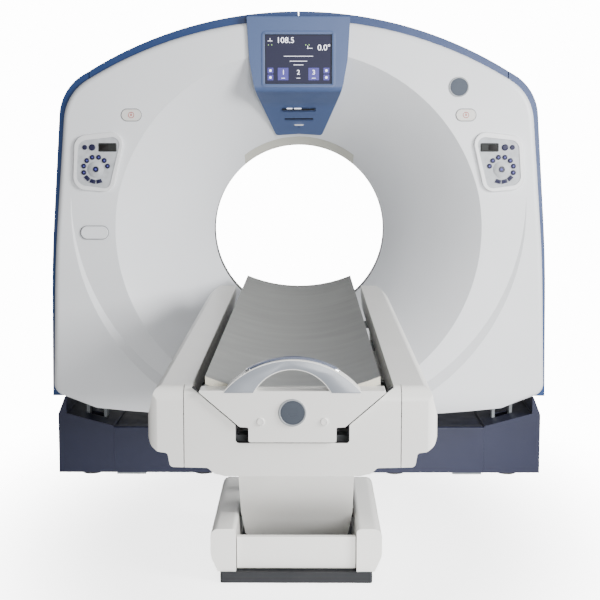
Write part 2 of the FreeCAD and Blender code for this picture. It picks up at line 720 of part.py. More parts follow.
def detector():
    """Curved detector, centred on the focal spot, with brackets back to the disc."""
    focus = vec(0, -60, ISO_Z + FOCUS_R)
    outer = Part.makeCylinder(DETECTOR_R + 70, 120, focus, AXIS_Y)
    inner = Part.makeCylinder(DETECTOR_R, 122, focus - AXIS_Y, AXIS_Y)
    reach = 1400.0
    spread = reach * math.tan(math.radians(FAN_HALF))
    fan = prism("XZ", [(0, ISO_Z + FOCUS_R, 0), (spread, ISO_Z + FOCUS_R - reach, 0),
                       (-spread, ISO_Z + FOCUS_R - reach, 0)], -61, 61)
    arc = outer.cut(inner).common(fan)
    brackets = both_sides(180, 260, 55, DISC_Y, ISO_Z - 490, ISO_Z - 440)
    return fused([arc] + brackets)


def rotor_box(start, end, depth):
    """Box of electronics on the rotor disc, between two angles."""
    block = sector_block(470, 645, DISC_Y - depth, DISC_Y, start, end)
    return block


# ---- Tilt gears ----
def gear_tooth(radius):
    """One straight-flanked tooth on a wheel of the given pitch radius, pointing along +Z."""
    add = 0.75 * GEAR_MODULE
    ded = 1.0 * GEAR_MODULE
    slope = math.tan(math.radians(20))
    pitch_half = math.pi * GEAR_MODULE * TOOTH_SHARE / 2
    tip = pitch_half - add * slope
    root = pitch_half + ded * slope
    corners = [(-root, radius - ded - 1, 0), (root, radius - ded - 1, 0), (tip, radius + add, 0),
               (-tip, radius + add, 0)]
    return prism("YZ", corners, GEAR_X - GEAR_W / 2, GEAR_X + GEAR_W / 2)


def tilt_sector():
    """Toothed sector below the left trunnion; a tooth gap faces straight down."""
    radius = GEAR_MODULE * SECTOR_TEETH / 2
    root = radius - GEAR_MODULE
    step = 360.0 / SECTOR_TEETH
    x0, x1 = GEAR_X - GEAR_W / 2, GEAR_X + GEAR_W / 2
    rim = Part.makeCylinder(root, GEAR_W, ORIGIN, AXIS_Z, 2 * SECTOR_HALF)
    rim = rim.cut(Part.makeCylinder(root - 50, GEAR_W, ORIGIN, AXIS_Z))
    rim.rotate(ORIGIN, AXIS_Z, -90 - SECTOR_HALF)
    rim.rotate(ORIGIN, AXIS_X, 90)
    rim.rotate(ORIGIN, AXIS_Z, 90)
    rim.translate(vec(x0, 0, ISO_Z))
    spokes = []
    for angle in (-SECTOR_HALF + 4, 0, SECTOR_HALF - 4):
        spoke = box(x0, x1, -22, 22, -(root - 20), 0)
        spoke.rotate(ORIGIN, AXIS_X, angle)
        spoke.translate(ISO)
        spokes.append(spoke)
    hub = rod_x(TRUNNION_R + 30, x0, x1, 0, ISO_Z)
    teeth = []
    count = int(SECTOR_HALF / step)
    for i in range(-count, count):
        tooth = gear_tooth(radius)
        tooth.rotate(ORIGIN, AXIS_X, 180 + (i + 0.5) * step)
        tooth.translate(ISO)
        teeth.append(tooth)
    whole = fused([rim, hub] + spokes + teeth)
    return whole.cut(rod_x(TRUNNION_R, x0 - 1, x1 + 1, 0, ISO_Z))


def pinion_centre_z():
    return ISO_Z - GEAR_MODULE * (SECTOR_TEETH + PINION_TEETH) / 2


def tilt_pinion():
    """Pinion with its shaft; a tooth points straight up into the sector."""
    radius = GEAR_MODULE * PINION_TEETH / 2
    z = pinion_centre_z()
    x0, x1 = GEAR_X - GEAR_W / 2, GEAR_X + GEAR_W / 2
    wheel = Part.makeCylinder(radius - GEAR_MODULE, GEAR_W, vec(x0, 0, 0), AXIS_X)
    teeth = []
    for i in range(PINION_TEETH):
        tooth = gear_tooth(radius)
        tooth.rotate(ORIGIN, AXIS_X, i * 360.0 / PINION_TEETH)
        teeth.append(tooth)
    shaft = Part.makeCylinder(12, x1 + PILLAR_IN + 35, vec(-PILLAR_IN - 35, 0, 0), AXIS_X)
    gear = fused([wheel, shaft] + teeth)
    gear.translate(vec(0, 0, z))
    return gear


def tilt_motor():
    """Right-angle gearmotor between the two plates of the left pillar."""
    z = pinion_centre_z()
    inner = PILLAR_IN + PILLAR_PLATE
    outer = PILLAR_OUT - PILLAR_PLATE
    case = box(-outer, -inner, -NECK_HALF, NECK_HALF, z - 40, z + 40)
    motor = rod_z(26, 245, z - 39, -(inner + outer) / 2, 0)
    return case.fuse(motor).cut(rod_x(12 + RUN, -PILLAR_IN - 36, -PILLAR_IN, 0, z))


# ---- Gantry base ----
def cross_beams(clear):
    """The base's front and rear beams, or with a clearance the tunnels for them in the covers."""
    low, high = BEAM_LOW_Z - clear, BEAM_LOW_Z + BEAM_SIZE + clear
    front, rear = BASE_FRONT_Y + 15, BASE_REAR_Y - 15
    return [box(-BEAM_HALF_L, BEAM_HALF_L, front - clear, front + BEAM_SIZE + clear, low, high),
            box(-BEAM_HALF_L, BEAM_HALF_L, rear - BEAM_SIZE - clear, rear + clear, low, high)]


def base_frame():
    """Welded floor frame with two plates a side that carry the tilt bearings."""
    pieces = []
    low, high = BEAM_LOW_Z, BEAM_LOW_Z + BEAM_SIZE
    front, rear = BASE_FRONT_Y + 15, BASE_REAR_Y - 15
    pieces += cross_beams(0)
    pieces += both_sides(700, 760, front, rear, low, high)
    pieces += both_sides(PILLAR_IN - 15, PILLAR_OUT + 15, front, rear, low, high)
    for side in (LEFT, RIGHT):
        for start in (PILLAR_IN, PILLAR_OUT - PILLAR_PLATE):
            profile = [(-90, low, 0), (90, low, 0), (90, 150, 20), (NECK_HALF, 200, 20),
                       (NECK_HALF, NECK_Z, 30), (PILLAR_HALF, NECK_Z + 90, 30),
                       (PILLAR_HALF, ISO_Z - 60, 60), (HEAD_R, ISO_Z - 20, 20),
                       (HEAD_R, ISO_Z + HEAD_R, HEAD_R - 1), (-HEAD_R, ISO_Z + HEAD_R, HEAD_R - 1),
                       (-HEAD_R, ISO_Z - 20, 20), (-PILLAR_HALF, ISO_Z - 60, 60),
                       (-PILLAR_HALF, NECK_Z + 90, 30), (-NECK_HALF, NECK_Z, 30), (-NECK_HALF, 200, 20),
                       (-90, 150, 20)]
            pieces.append(handed(prism("YZ", profile, start, start + PILLAR_PLATE), side))
        inner = PILLAR_IN + PILLAR_PLATE - 1
        outer = PILLAR_OUT - PILLAR_PLATE + 1
        pieces.append(handed(box(inner, outer, -40, 40, 520, 560), side))
        pieces.append(handed(box(inner, outer, -40, 40, 880, 920), side))
        foot_box = box(ANCHOR_X - 60, ANCHOR_X + 60, -ANCHOR_Y - 34, ANCHOR_Y + 34, 0, 20)
        pieces.append(handed(foot_box, side))
        pieces.append(handed(box(ANCHOR_X, ANCHOR_X + 60, -60, 60, 19, low + 1), side))
    frame = fused(pieces)
    for side in (LEFT, RIGHT):
        frame = frame.cut(handed(rod_x(TRUNNION_R + RUN, PILLAR_IN - 1, PILLAR_OUT + 1, 0, ISO_Z), side))
        for y in (-ANCHOR_Y, ANCHOR_Y):
            frame = frame.cut(rod_z(ANCHOR_R, -1, 29, side * ANCHOR_X, y))
    bore = rod_x(12 + RUN, -PILLAR_IN - PILLAR_PLATE - 1, -PILLAR_IN + 1, 0, pinion_centre_z())
    return frame.cut(bore)


def levelling_pads():
    """Feet that carry the frame, screwed up against it."""
    pads = []
    for x in (-870, -400, 400, 870):
        for y in (BASE_FRONT_Y + 45, BASE_REAR_Y - 45):
            pads.append(fused([rod_z(38, 0, 12, x, y), rod_z(12, 11, 30, x, y)]))
    return Part.makeCompound(pads)


def open_shell(corners, y0, y1, wall):
    """Moulded cover, open below: outline in front view, closed at both ends."""
    outer = prism("XZ", corners, y0, y1)
    inner = prism("XZ", corners, y0 + wall, y1 - wall, wall)
    low = outer.BoundBox.ZMin
    floor = box(-RAW, RAW, y0 + wall, y1 - wall, low - 1, low + wall + 1)
    mould = inner.fuse(floor.common(prism("XZ", corners, y0 + wall, y1 - wall).common(
        inner_column(inner, low))))
    return outer.cut(mould)


def inner_column(inner, low):
    """The lowest slice of a hollow, carried down through the floor."""
    bounds = inner.BoundBox
    return box(bounds.XMin, bounds.XMax, bounds.YMin, bounds.YMax, low - 2, low + 20)


def base_pod(side):
    """Corner cover of the base, with the ear that stands outside the gantry's foot."""
    corners = [(POD_IN, SKIRT_Z, 0), (BASE_HALF_W, SKIRT_Z, 0), (BASE_HALF_W, POD_HIGH_Z, 6),
               (POD_EAR_IN + 6, POD_EAR_Z, 3), (POD_EAR_IN, POD_EAR_Z, 1), (POD_EAR_IN, POD_HIGH_Z + 4, 2),
               (POD_IN, POD_LOW_Z, 8)]
    shell = open_shell(corners, BASE_FRONT_Y, BASE_REAR_Y, BASE_WALL)
    clear = 3.0
    slot = box(PILLAR_IN - clear, PILLAR_OUT + clear, -NECK_HALF - 8, NECK_HALF + 8, 150, RAW)
    return handed(shell.cut(slot).cut(cross_beams(SEAT)), side)


def base_cover(side):
    """Centre cover between the pods, front or rear."""
    half = POD_IN - SEAT
    outer_y = BASE_FRONT_Y if side == FRONT else BASE_REAR_Y
    split = BASE_SPLIT_Y + side * SEAT / 2
    def lean(drop):
        edge = outer_y - side * drop
        knee = outer_y - side * 80
        back = split - side * (5 if drop else 0)
        low = SKIRT_Z - 1 if drop else SKIRT_Z
        return [(edge, low, 0), (edge, CENTRE_Z - drop, 0 if drop else 6),
                (knee, CENTRE_BACK_Z - drop, 0), (back, CENTRE_BACK_Z - drop, 0), (back, low, 0)]
    outer = prism("YZ", lean(0), -half, half)
    inner = prism("YZ", lean(BASE_WALL), -half + BASE_WALL, half - BASE_WALL)
    return outer.cut(inner).cut(cross_beams(SEAT))


def cable_duct():
    """Low floor duct from the table plinth to the gantry base."""
    half = FLOOR_DUCT_HALF_W
    outer = box(-half, half, PLINTH_REAR_Y + SEAT, BASE_FRONT_Y - SEAT, 0, PLINTH_H)
    inner = box(-half + 4, half - 4, PLINTH_REAR_Y - 1, BASE_FRONT_Y + 1, -1, PLINTH_H - 4)
    return outer.cut(inner)


# ---- Table base ----
def pivot_points():
    """Lower and upper pivots of the rear and front arms, as (y, z) pairs."""
    back = math.sqrt(ARM_L ** 2 - ARM_RISE ** 2)
    return [((y, PIVOT_Z), (y - back, PIVOT_Z + ARM_RISE)) for y in (PIVOT_REAR_Y, PIVOT_FRONT_Y)]


def table_plinth():
    """Floor plate with the two pivot plates that carry the arms."""
    corners = [(-PLINTH_HALF_W, PLINTH_FRONT_Y, 8), (PLINTH_HALF_W, PLINTH_FRONT_Y, 8),
               (PLINTH_HALF_W, PLINTH_REAR_Y, 8), (-PLINTH_HALF_W, PLINTH_REAR_Y, 8)]
    plate = prism("XY", corners, 0, PLINTH_H)
    pieces = [plate]
    top = PIVOT_Z + 28
    for side in (LEFT, RIGHT):
        cheek = prism("YZ", [(PIVOT_FRONT_Y - 60, PLINTH_H - 1, 0), (PIVOT_REAR_Y + 60, PLINTH_H - 1, 0),
                             (PIVOT_REAR_Y + 30, top, 28), (PIVOT_FRONT_Y - 30, top, 28)],
                      CHEEK_IN, CHEEK_IN + CHEEK_T)
        pieces.append(handed(cheek, side))
    body = fused(pieces)
    for (y, z), _ in pivot_points():
        body = body.cut(rod_x(PIVOT_R + RUN, -RAW, RAW, y, z))
    for x in (-170, 170):
        for y in (PLINTH_FRONT_Y + 68, PLINTH_REAR_Y - 60):
            body = body.cut(rod_z(9, -1, PLINTH_H + 1, x, y))
    return body


def leg_cover(side):
    """Low moulded cover over the pivot plates."""
    low = PLINTH_H + SEAT
    corners = [(LEG_IN, low, 0), (LEG_OUT - 22, low, 0), (LEG_OUT, low + 50, 60), (LEG_OUT, LEG_TOP_Z, 26),
               (LEG_IN, LEG_TOP_Z, 14)]
    shell = open_shell(corners, PLINTH_FRONT_Y + 6, PLINTH_REAR_Y - 6, TABLE_SKIN)
    for (y, z), _ in pivot_points():
        shell = shell.cut(rod_x(PIVOT_R + 6, 0, LEG_IN + 10, y, z))
    return handed(shell, side)


def lower_panel():
    """Folded front panel between the leg covers."""
    half = LEG_IN - 3
    face = PLINTH_FRONT_Y + 22
    top = 144.0
    front = box(-half, half, face, face + 4, PLINTH_H + 8, top)
    shelf = box(-half, half, face, face + 21, top - 4, top)
    web = box(-half, half, face + 17, face + 21, PLINTH_H + SEAT, top)
    return fused([front, shelf, web])


def lift_motor():
    """Gearmotor that turns the rear arm, outside its pivot plate."""
    start = CHEEK_IN + CHEEK_T
    y, z = PIVOT_REAR_Y, PIVOT_Z
    body = rod_x(34, start, start + 44, y, z).fuse(box(start, start + 44, y, y + 90, z - 30, z + 30))
    return body.cut(rod_x(PIVOT_R + RUN, start - 1, start + 20, y, z))


# ---- Swing arms ----
def swing_arm(lower, upper):
    """Box arm with a boss and stub shafts at each pivot."""
    (y0, z0), (y1, z1) = lower, upper
    pieces = []
    beam = box(-SWING_HALF_W, SWING_HALF_W, -SWING_T / 2, SWING_T / 2, 0, ARM_L)
    hollow = box(-SWING_HALF_W + 10, SWING_HALF_W - 10, -SWING_T / 2 + 8, SWING_T / 2 - 8, 60, ARM_L - 60)
    beam = beam.cut(hollow)
    beam.rotate(ORIGIN, AXIS_X, math.degrees(math.atan2(y0 - y1, z1 - z0)))
    beam.translate(vec(0, y0, z0))
    pieces.append(beam)
    for y, z in (lower, upper):
        pieces.append(rod_x(BOSS_R, -SWING_HALF_W, SWING_HALF_W, y, z))
        pieces.append(rod_x(PIVOT_R, -CHEEK_IN - CHEEK_T, CHEEK_IN + CHEEK_T, y, z))
    return fused(pieces)


def arm_cover():
    """Moulded shield ahead of the front arm, with two ribs back to it."""
    (y0, z0), (y1, z1) = pivot_points()[1]
    low, knee, high = -5.0, 140.0, 612.0
    narrow, wide = 171.0, 183.0
    corners = [(-narrow, low, 16), (narrow, low, 16), (wide, knee, 40), (wide, high, 10), (-wide, high, 10),
               (-wide, knee, 40)]
    sheet = prism("XZ", corners, -SHIELD_FRONT, -SHIELD_FRONT + SHIELD_T)
    ribs = both_sides(60, 76, -SHIELD_FRONT + SHIELD_T - 1, -SWING_T / 2 - SEAT, 90, 540)
    shield = fused([sheet] + ribs)
    shield.rotate(ORIGIN, AXIS_X, math.degrees(math.atan2(y0 - y1, z1 - z0)))
    shield.translate(vec(0, y0, z0))
    return shield


# ---- Table top ----
def table_block(inset):
    """Outer form of the table body, or with an inset its hollow."""
    right = [(160, TABLE_BELLY_Z, 14), (186, 609, 10), (202, 623, 10), (291, 625, 10), (297, 659, 8),
             (320, 662, 16), (338, 676, 24), (TABLE_HALF_W, 716, 60), (326, TABLE_TOP_Z, 24)]
    corners = right + [(-x, z, r) for x, z, r in reversed(right)]
    wire = outline("XZ", corners)
    if inset:
        wire = wire.makeOffset2D(-inset)
    face = Part.Face(wire)
    face.translate(vec(0, TABLE_FOOT_Y, 0))
    run = TABLE_HEAD_Y - TABLE_FOOT_Y
    body = face.extrude(vec(0, run, TABLE_TOP_RISE))
    plan_right = [(TABLE_HALF_W - 8, TABLE_FOOT_Y, 30), (TABLE_HALF_W + 1, TABLE_FOOT_Y + 240, 300),
                  (TABLE_HALF_W + 1, TAPER_Y, 600), (HEAD_HALF_W, TABLE_HEAD_Y, 8)]
    plan = plan_right + [(-x, y, r) for x, y, r in reversed(plan_right)]
    body = body.common(prism("XY", plan, 0, RAW, inset))
    top_z = TABLE_TOP_Z - TABLE_SKIM
    rise = [(TABLE_FOOT_Y + TABLE_SKIM, 500, 0), (UNDERCUT_Y, 500, 0), (UNDERCUT_Y, TABLE_BELLY_Z - 3, 0),
            (TABLE_HEAD_Y + 1, UNDERCUT_HEAD_Z, 0), (TABLE_HEAD_Y + 1, top_z + TABLE_TOP_RISE, 0),
            (TABLE_FOOT_Y + TABLE_SKIM, top_z, BROW_R)]
    return body.common(prism("YZ", rise, -RAW, RAW, inset))


def table_shell():
    """The table body's skins before they are parted, open along the cradle's channel."""
    channel = box(-CHANNEL_HALF_W, CHANNEL_HALF_W, -RAW, RAW, TABLE_TOP_Z - 14, RAW)
    shell = table_block(0).cut(table_block(TABLE_SKIN)).cut(channel)
    return shell


def table_cover(side):
    """Side cover: outer wall, top strip and the wall down into the channel."""
    shell = table_shell()
    outer = shell.common(box(FASCIA_HALF_W + FASCIA_SEAM, RAW, -RAW, RAW, 0, RAW))
    strip = shell.common(
        box(CHANNEL_HALF_W, FASCIA_HALF_W + FASCIA_SEAM + 1, TABLE_FOOT_Y + 40, RAW, TABLE_TOP_Z - 14, RAW))
    guard = box(CHANNEL_HALF_W, CHANNEL_HALF_W + TABLE_SKIN, TABLE_FOOT_Y + 40, TABLE_HEAD_Y, 760, RAW)
    guard = guard.common(table_block(0))
    return handed(fused([outer, strip, guard]), side)


def gate_half_width(z, gap):
    """Half width at z between the slopes of the cradle's opening, less a gap square to them."""
    run = CHANNEL_HALF_W - 2 - VEE_HALF_W
    rise = TABLE_TOP_Z - GATE_TOP_DROP - VEE_Z
    return VEE_HALF_W + (z - VEE_Z) * run / rise - gap * math.hypot(run, rise) / rise


def cradle_gate(clear):
    """Opening in the fascia that the cradle's end cap passes through."""
    top_z = TABLE_TOP_Z - GATE_TOP_DROP
    top_w = gate_half_width(top_z, 0)
    corners = [(-top_w, 860, 0), (-top_w, top_z, 0), (-VEE_HALF_W, VEE_Z, 6), (-VEE_HALF_W, NOTCH_Z, 8),
               (VEE_HALF_W, NOTCH_Z, 8), (VEE_HALF_W, VEE_Z, 6), (top_w, top_z, 0), (top_w, 860, 0)]
    return prism("XZ", corners, -RAW, RAW, clear)


def table_fascia():
    """End panel at the foot, notched for the cradle."""
    slab = table_block(0).cut(table_block(TABLE_SKIN))
    slab = slab.common(box(-FASCIA_HALF_W, FASCIA_HALF_W, -RAW, TABLE_FOOT_Y + 39, 0, RAW))
    open_top = box(-CHANNEL_HALF_W, CHANNEL_HALF_W, -RAW, RAW, TABLE_TOP_Z - 6, RAW)
    return slab.cut(cradle_gate(0)).cut(open_top)


def table_pan():
    """Underside panel ahead of the arms."""
    return table_shell().common(box(-FASCIA_HALF_W, FASCIA_HALF_W, TABLE_FOOT_Y + 39 + SEAT, -1740, 0, 700))


def table_frame():
    """Welded frame: two beams, cross members, rails, pivot plates and cover brackets."""
    pieces = []
    foot = TABLE_FOOT_Y + TABLE_SKIM + TABLE_SKIN + SEAT
    beam_in, beam_out = 190.0, 228.0
    for side in (LEFT, RIGHT):
        beam = box(beam_in, beam_out, foot, -700, 675, 750)
        rail = box(RUNNER_IN, RUNNER_IN + RUNNER_W, CRADLE_FOOT_Y, TABLE_HEAD_Y - 13, 762, RAIL_TOP_Z)
        web = box(RUNNER_IN + 3, RUNNER_IN + RUNNER_W - 3, CRADLE_FOOT_Y, -560, 735, 765)
        front_y = pivot_points()[1][1][0]
        rear_y = pivot_points()[0][1][0]
        high_z = pivot_points()[0][1][1]
        cheek = prism("YZ", [(front_y - 60, 700, 0), (rear_y + 60, 700, 0), (rear_y + 34, high_z - 28, 26),
                             (front_y - 34, high_z - 28, 26)], CHEEK_IN, CHEEK_IN + CHEEK_T)
        for piece in (beam, rail, web, cheek):
            pieces.append(handed(piece, side))
        for y in (TABLE_FOOT_Y + 90, -1900, -1200, -740):
            bracket = box(beam_out - 2, RAW, y, y + 30, 700, 730).common(table_block(TABLE_SKIN + SEAT))
            pieces.append(handed(bracket, side))
    for y in (TABLE_FOOT_Y + 100, -1880, -1180, -1010):
        pieces.append(box(-beam_in - 10, beam_in + 10, y, y + 40, 642, 680))
    for y in (TABLE_FOOT_Y + 110, -1870):
        pieces.append(box(-30, 30, y, y + 20, 500, 645).common(table_block(TABLE_SKIN + SEAT)))
    mount = box(RUNNER_IN - 14, RUNNER_IN + 4, ROLLER_Y - 40, ROLLER_Y + 30, 735, 764)
    pieces.append(mirrored(mount))
    frame = fused(pieces)
    for _, (y, z) in pivot_points():
        frame = frame.cut(rod_x(PIVOT_R + RUN, -RAW, RAW, y, z))
    return frame.cut(rod_x(5 + RUN, -RUNNER_IN - 5, -RUNNER_IN + 15, ROLLER_Y, roller_z()))


def roller_z():
    return RAIL_TOP_Z - ROLLER_R


def drive_roller():
    """Rubber-faced roller that moves the cradle, pressed up against its left runner."""
    z = roller_z()
    wheel = rod_x(ROLLER_R, -RUNNER_IN + 16, -RUNNER_IN + 30, ROLLER_Y, z)
    shaft = rod_x(5, -RUNNER_IN - 2, -RUNNER_IN + 31, ROLLER_Y, z)
    return wheel.fuse(shaft)


def cradle_motor():
    z = roller_z()
    return rod_x(17, -RUNNER_IN + 31 + SEAT, -RUNNER_IN + 90, ROLLER_Y, z)


# ---- Cradle ----
def trough(side_w, drop):
    """Points of an arc across the cradle, drop below its edges."""
    edge = CRADLE_Z - drop
    return vec(-side_w, 0, edge), vec(0, 0, edge - CRADLE_SAG), vec(side_w, 0, edge)


def cradle():
    """Curved carbon-fibre top with two runners below."""
    a, b, c = trough(CRADLE_HALF_W, 0)
    d, e, f = trough(CRADLE_HALF_W, CRADLE_T)
    wire = Part.Wire([Part.Arc(a, b, c).toShape(), Part.LineSegment(c, f).toShape(),
                      Part.Arc(f, e, d).toShape(), Part.LineSegment(d, a).toShape()])
    face = Part.Face(wire)
    face.translate(vec(0, CRADLE_FOOT_Y, 0))
    top = face.extrude(vec(0, CRADLE_HEAD_Y - CRADLE_FOOT_Y, 0))
    wide = RUNNER_IN - 30
    runners = []
    for side in (LEFT, RIGHT):
        start = wide if side == LEFT else RUNNER_IN
        runner = box(start, RUNNER_IN + RUNNER_W, CRADLE_FOOT_Y, TABLE_HEAD_Y - 60, RAIL_TOP_Z + SEAT, 812)
        runners.append(handed(runner, side))
    return fused([top] + runners)


def cradle_end_cap():
    """Moulded end of the cradle, with the handle arch in one piece."""
    y0, y1 = CRADLE_FOOT_Y - CAP_DEPTH, CRADLE_FOOT_Y - SEAT
    right = [(CAP_FOOT_HALF_W, NOTCH_Z + 4, 5), (CAP_FOOT_HALF_W, VEE_Z - 4, 4),
             (gate_half_width(VEE_Z - 3, CAP_CLEAR), VEE_Z - 3, 4),
             (gate_half_width(TABLE_TOP_Z - 7, CAP_CLEAR), TABLE_TOP_Z - 7, 3)]
    corners = right + [(-x, z, r) for x, z, r in reversed(right)]
    body = prism("XZ", corners, y0, y1).cut(prism("XZ", corners, y0 + TABLE_SKIN, y1 + 1, TABLE_SKIN))
    grip_depth = 40.0
    bow = Part.Wire([Part.Arc(vec(-HANDLE_HALF_W, 0, HANDLE_FOOT_Z), vec(0, 0, HANDLE_TOP_Z),
                              vec(HANDLE_HALF_W, 0, HANDLE_FOOT_Z)).toShape(),
                     Part.LineSegment(vec(HANDLE_HALF_W, 0, HANDLE_FOOT_Z),
                                      vec(-HANDLE_HALF_W, 0, HANDLE_FOOT_Z)).toShape()])
    arch_face = Part.Face(bow)
    arch_face.translate(vec(0, y0, 0))
    handle = arch_face.extrude(vec(0, grip_depth, 0))
    cap = fused([body, handle]).cut(grip_gap(y0 - 1, y0 + grip_depth + 1))
    return cap.cut(release_groove(0.4, RELEASE_TRAVEL + SEAT))


def grip_gap(y0, y1):
    gap = Part.Wire([Part.Arc(vec(-GRIP_HALF_W, 0, GRIP_Z), vec(0, 0, GRIP_TOP_Z),
                              vec(GRIP_HALF_W, 0, GRIP_Z)).toShape(),
                     Part.LineSegment(vec(GRIP_HALF_W, 0, GRIP_Z), vec(-GRIP_HALF_W, 0, GRIP_Z)).toShape()])
    face = Part.Face(gap)
    face.translate(vec(0, y0, 0))
    return face.extrude(vec(0, y1 - y0, 0))


def handle_circle():
    """Centre height and radius of the handle's arch."""
    rise = HANDLE_TOP_Z - HANDLE_FOOT_Z
    radius = (HANDLE_HALF_W ** 2 + rise ** 2) / (2 * rise)
    return HANDLE_TOP_Z - radius, radius


def release_groove(clear, travel):
    """Groove along the top of the arch that the release bar sinks into."""
    centre_z, radius = handle_circle()
    y = CRADLE_FOOT_Y - CAP_DEPTH + 20
    half_w = 106.0 + clear
    band = rod_y(radius + 30, y - 8 - clear, y + 8 + clear, 0, centre_z).cut(
        rod_y(radius - 7 - travel, y - 20, y + 20, 0, centre_z))
    return band.common(box(-half_w, half_w, -RAW, 0, centre_z, RAW))


def release_bar():
    """Squeeze bar in the groove on top of the handle."""
    centre_z, radius = handle_circle()
    return release_groove(0, 0).common(rod_y(radius + 5, -RAW, 0, 0, centre_z))


# ---- Write every piece ----
def shapes():
    rear_pivots, front_pivots = pivot_points()
    made = {
        "base_frame": base_frame(),
        "base_cover_front": base_cover(FRONT),
        "base_cover_rear": base_cover(REAR),
        "base_pod_left": base_pod(LEFT),
        "base_pod_right": base_pod(RIGHT),
        "levelling_pads": levelling_pads(),
        "cable_duct": cable_duct(),
        "tilt_motor": tilt_motor(),
        "tilt_pinion": tilt_pinion(),
        "tilt_sector": tilt_sector(),
        "tilt_frame": tilt_frame(),
        "main_bearing": main_bearing(),
        "drive_motor": drive_motor(),
        "motor_pulley": motor_pulley(),
        "drive_belt": drive_belt(),
        "brush_block": brush_block(),
        "rotor_drum": rotor_drum(),
        "slip_ring": slip_ring(),
        "xray_tube": xray_tube(),
        "collimator": collimator(),
        "detector": detector(),
        "hv_generator": rotor_box(150, 205, 130),
        "heat_exchanger": rotor_box(-22, 28, 150),
        "front_cover": front_cover(),
        "rear_cover": rear_cover(),
        "scan_window": scan_window(),
        "laser_window": laser_window(),
        "display_console": display_console(),
        "display_screen": display_screen(),
        "table_plinth": table_plinth(),
        "lower_panel": lower_panel(),
        "lift_motor": lift_motor(),
        "lift_arm_rear": swing_arm(*rear_pivots),
        "lift_arm_front": swing_arm(*front_pivots),
        "arm_cover": arm_cover(),
        "table_frame": table_frame(),
        "table_fascia": table_fascia(),
        "table_pan": table_pan(),
        "cradle_motor": cradle_motor(),
        "drive_roller": drive_roller(),
        "cradle": cradle(),
        "cradle_end_cap": cradle_end_cap(),
        "release_bar": release_bar(),
    }
    for name, side in (("left", LEFT), ("right", RIGHT)):
        made["side_cover_" + name] = side_cover(side)
        made["top_cover_" + name] = top_cover(side)
        made["keypad_housing_" + name] = keypad_housing(side)
        made["keypad_mat_" + name] = keypad_mat(side)
        made["keypad_key_" + name] = keypad_key(side)
        made["stop_button_" + name] = stop_button(side)
        made["leg_cover_" + name] = leg_cover(side)
        made["table_cover_" + name] = table_cover(side)
    return made


os.makedirs("parts", exist_ok=True)
for node, shape in shapes().items():
    shape.exportStep("parts/" + node + ".step")
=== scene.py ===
"""Finishes, controls and trim for a CT scanner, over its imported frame."""

import json
import math

import bmesh
import bpy
from bpy.props import FloatProperty, FloatVectorProperty, PointerProperty
from mathutils import Matrix, Vector


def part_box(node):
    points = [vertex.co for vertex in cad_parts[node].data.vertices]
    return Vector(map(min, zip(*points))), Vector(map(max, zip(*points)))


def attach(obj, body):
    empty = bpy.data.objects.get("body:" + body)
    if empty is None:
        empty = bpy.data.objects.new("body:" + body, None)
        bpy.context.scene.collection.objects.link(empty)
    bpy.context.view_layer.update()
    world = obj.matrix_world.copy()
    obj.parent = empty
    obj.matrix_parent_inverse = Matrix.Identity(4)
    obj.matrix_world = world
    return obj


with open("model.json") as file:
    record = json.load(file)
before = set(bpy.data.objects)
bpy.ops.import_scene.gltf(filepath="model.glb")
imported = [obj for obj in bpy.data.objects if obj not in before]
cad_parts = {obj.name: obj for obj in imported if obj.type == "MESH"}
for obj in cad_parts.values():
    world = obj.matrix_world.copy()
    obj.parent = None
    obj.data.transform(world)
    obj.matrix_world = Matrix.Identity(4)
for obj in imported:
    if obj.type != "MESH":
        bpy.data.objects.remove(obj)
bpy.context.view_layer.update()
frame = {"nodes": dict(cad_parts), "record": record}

bl_info = {
    "name": "CT scanner looks",
    "version": (1, 0, 0),
    "blender": (4, 5, 0),
    "location": "3D View > Sidebar > CT scanner",
    "description": "Gives a CT scanner its finishes, keys, screen, badges and studio",
    "category": "Object",
}

MM = 0.001
SIDES = {"left": -1, "right": 1}
FLUSH = 1e-6                # how near two places count as the same, in metres
MIDDLE = (0.3, 0.7)         # part of a noise pattern in which nearly all of it lies

# Keypads: the ring of keys round the centre key, and the row of keys and a window above it.
KEY_RING = 47 * MM
KEY_STEP = math.radians(30)
KEY_START = math.radians(-15)
TOP_ROW = 83 * MM
TOP_KEYS = ((12 * MM, 12 * MM), (40 * MM, 9 * MM))      # place along the row, and radius

# Access cap: its place on the front cover, and the radius of its ends.
CAP_X = -783 * MM
CAP_Z = 1034 * MM
CAP_RADIUS = 24 * MM

TILE = 0.35 * MM            # thickness of the tiles on the display


# ---- Colours and nodes ----
def linear(code):
    """An sRGB hex colour as linear red, green, blue and alpha."""
    channels = [int(code[i : i + 2], 16) / 255 for i in (1, 3, 5)]
    return [c / 12.92 if c <= 0.04045 else ((c + 0.055) / 1.055) ** 2.4 for c in channels] + [1.0]


def shade(colour, factor):
    """The same colour, lighter or darker."""
    return [min(1.0, c * factor) for c in colour[:3]] + [1.0]


def add(tree, kind, links=None, values=None, **settings):
    """Add a node, set its attributes and input values, and link its inputs."""
    node = tree.nodes.new(kind)
    for name, value in settings.items():
        setattr(node, name, value)
    for name, value in (values or {}).items():
        node.inputs[name].default_value = value
    for name, socket in (links or {}).items():
        tree.links.new(socket, node.inputs[name])
    return node


def start_material(name, colour, roughness, **values):
    """A material with its Principled shader set; returns the material, its tree and the shader."""
    material = bpy.data.materials.new(name)
    material.use_nodes = True
    tree = material.node_tree
    shader = tree.nodes["Principled BSDF"]
    values.update({"Base Color": colour, "Roughness": roughness})
    for key, value in values.items():
        shader.inputs[key.replace("_", " ")].default_value = value
    return material, tree, shader


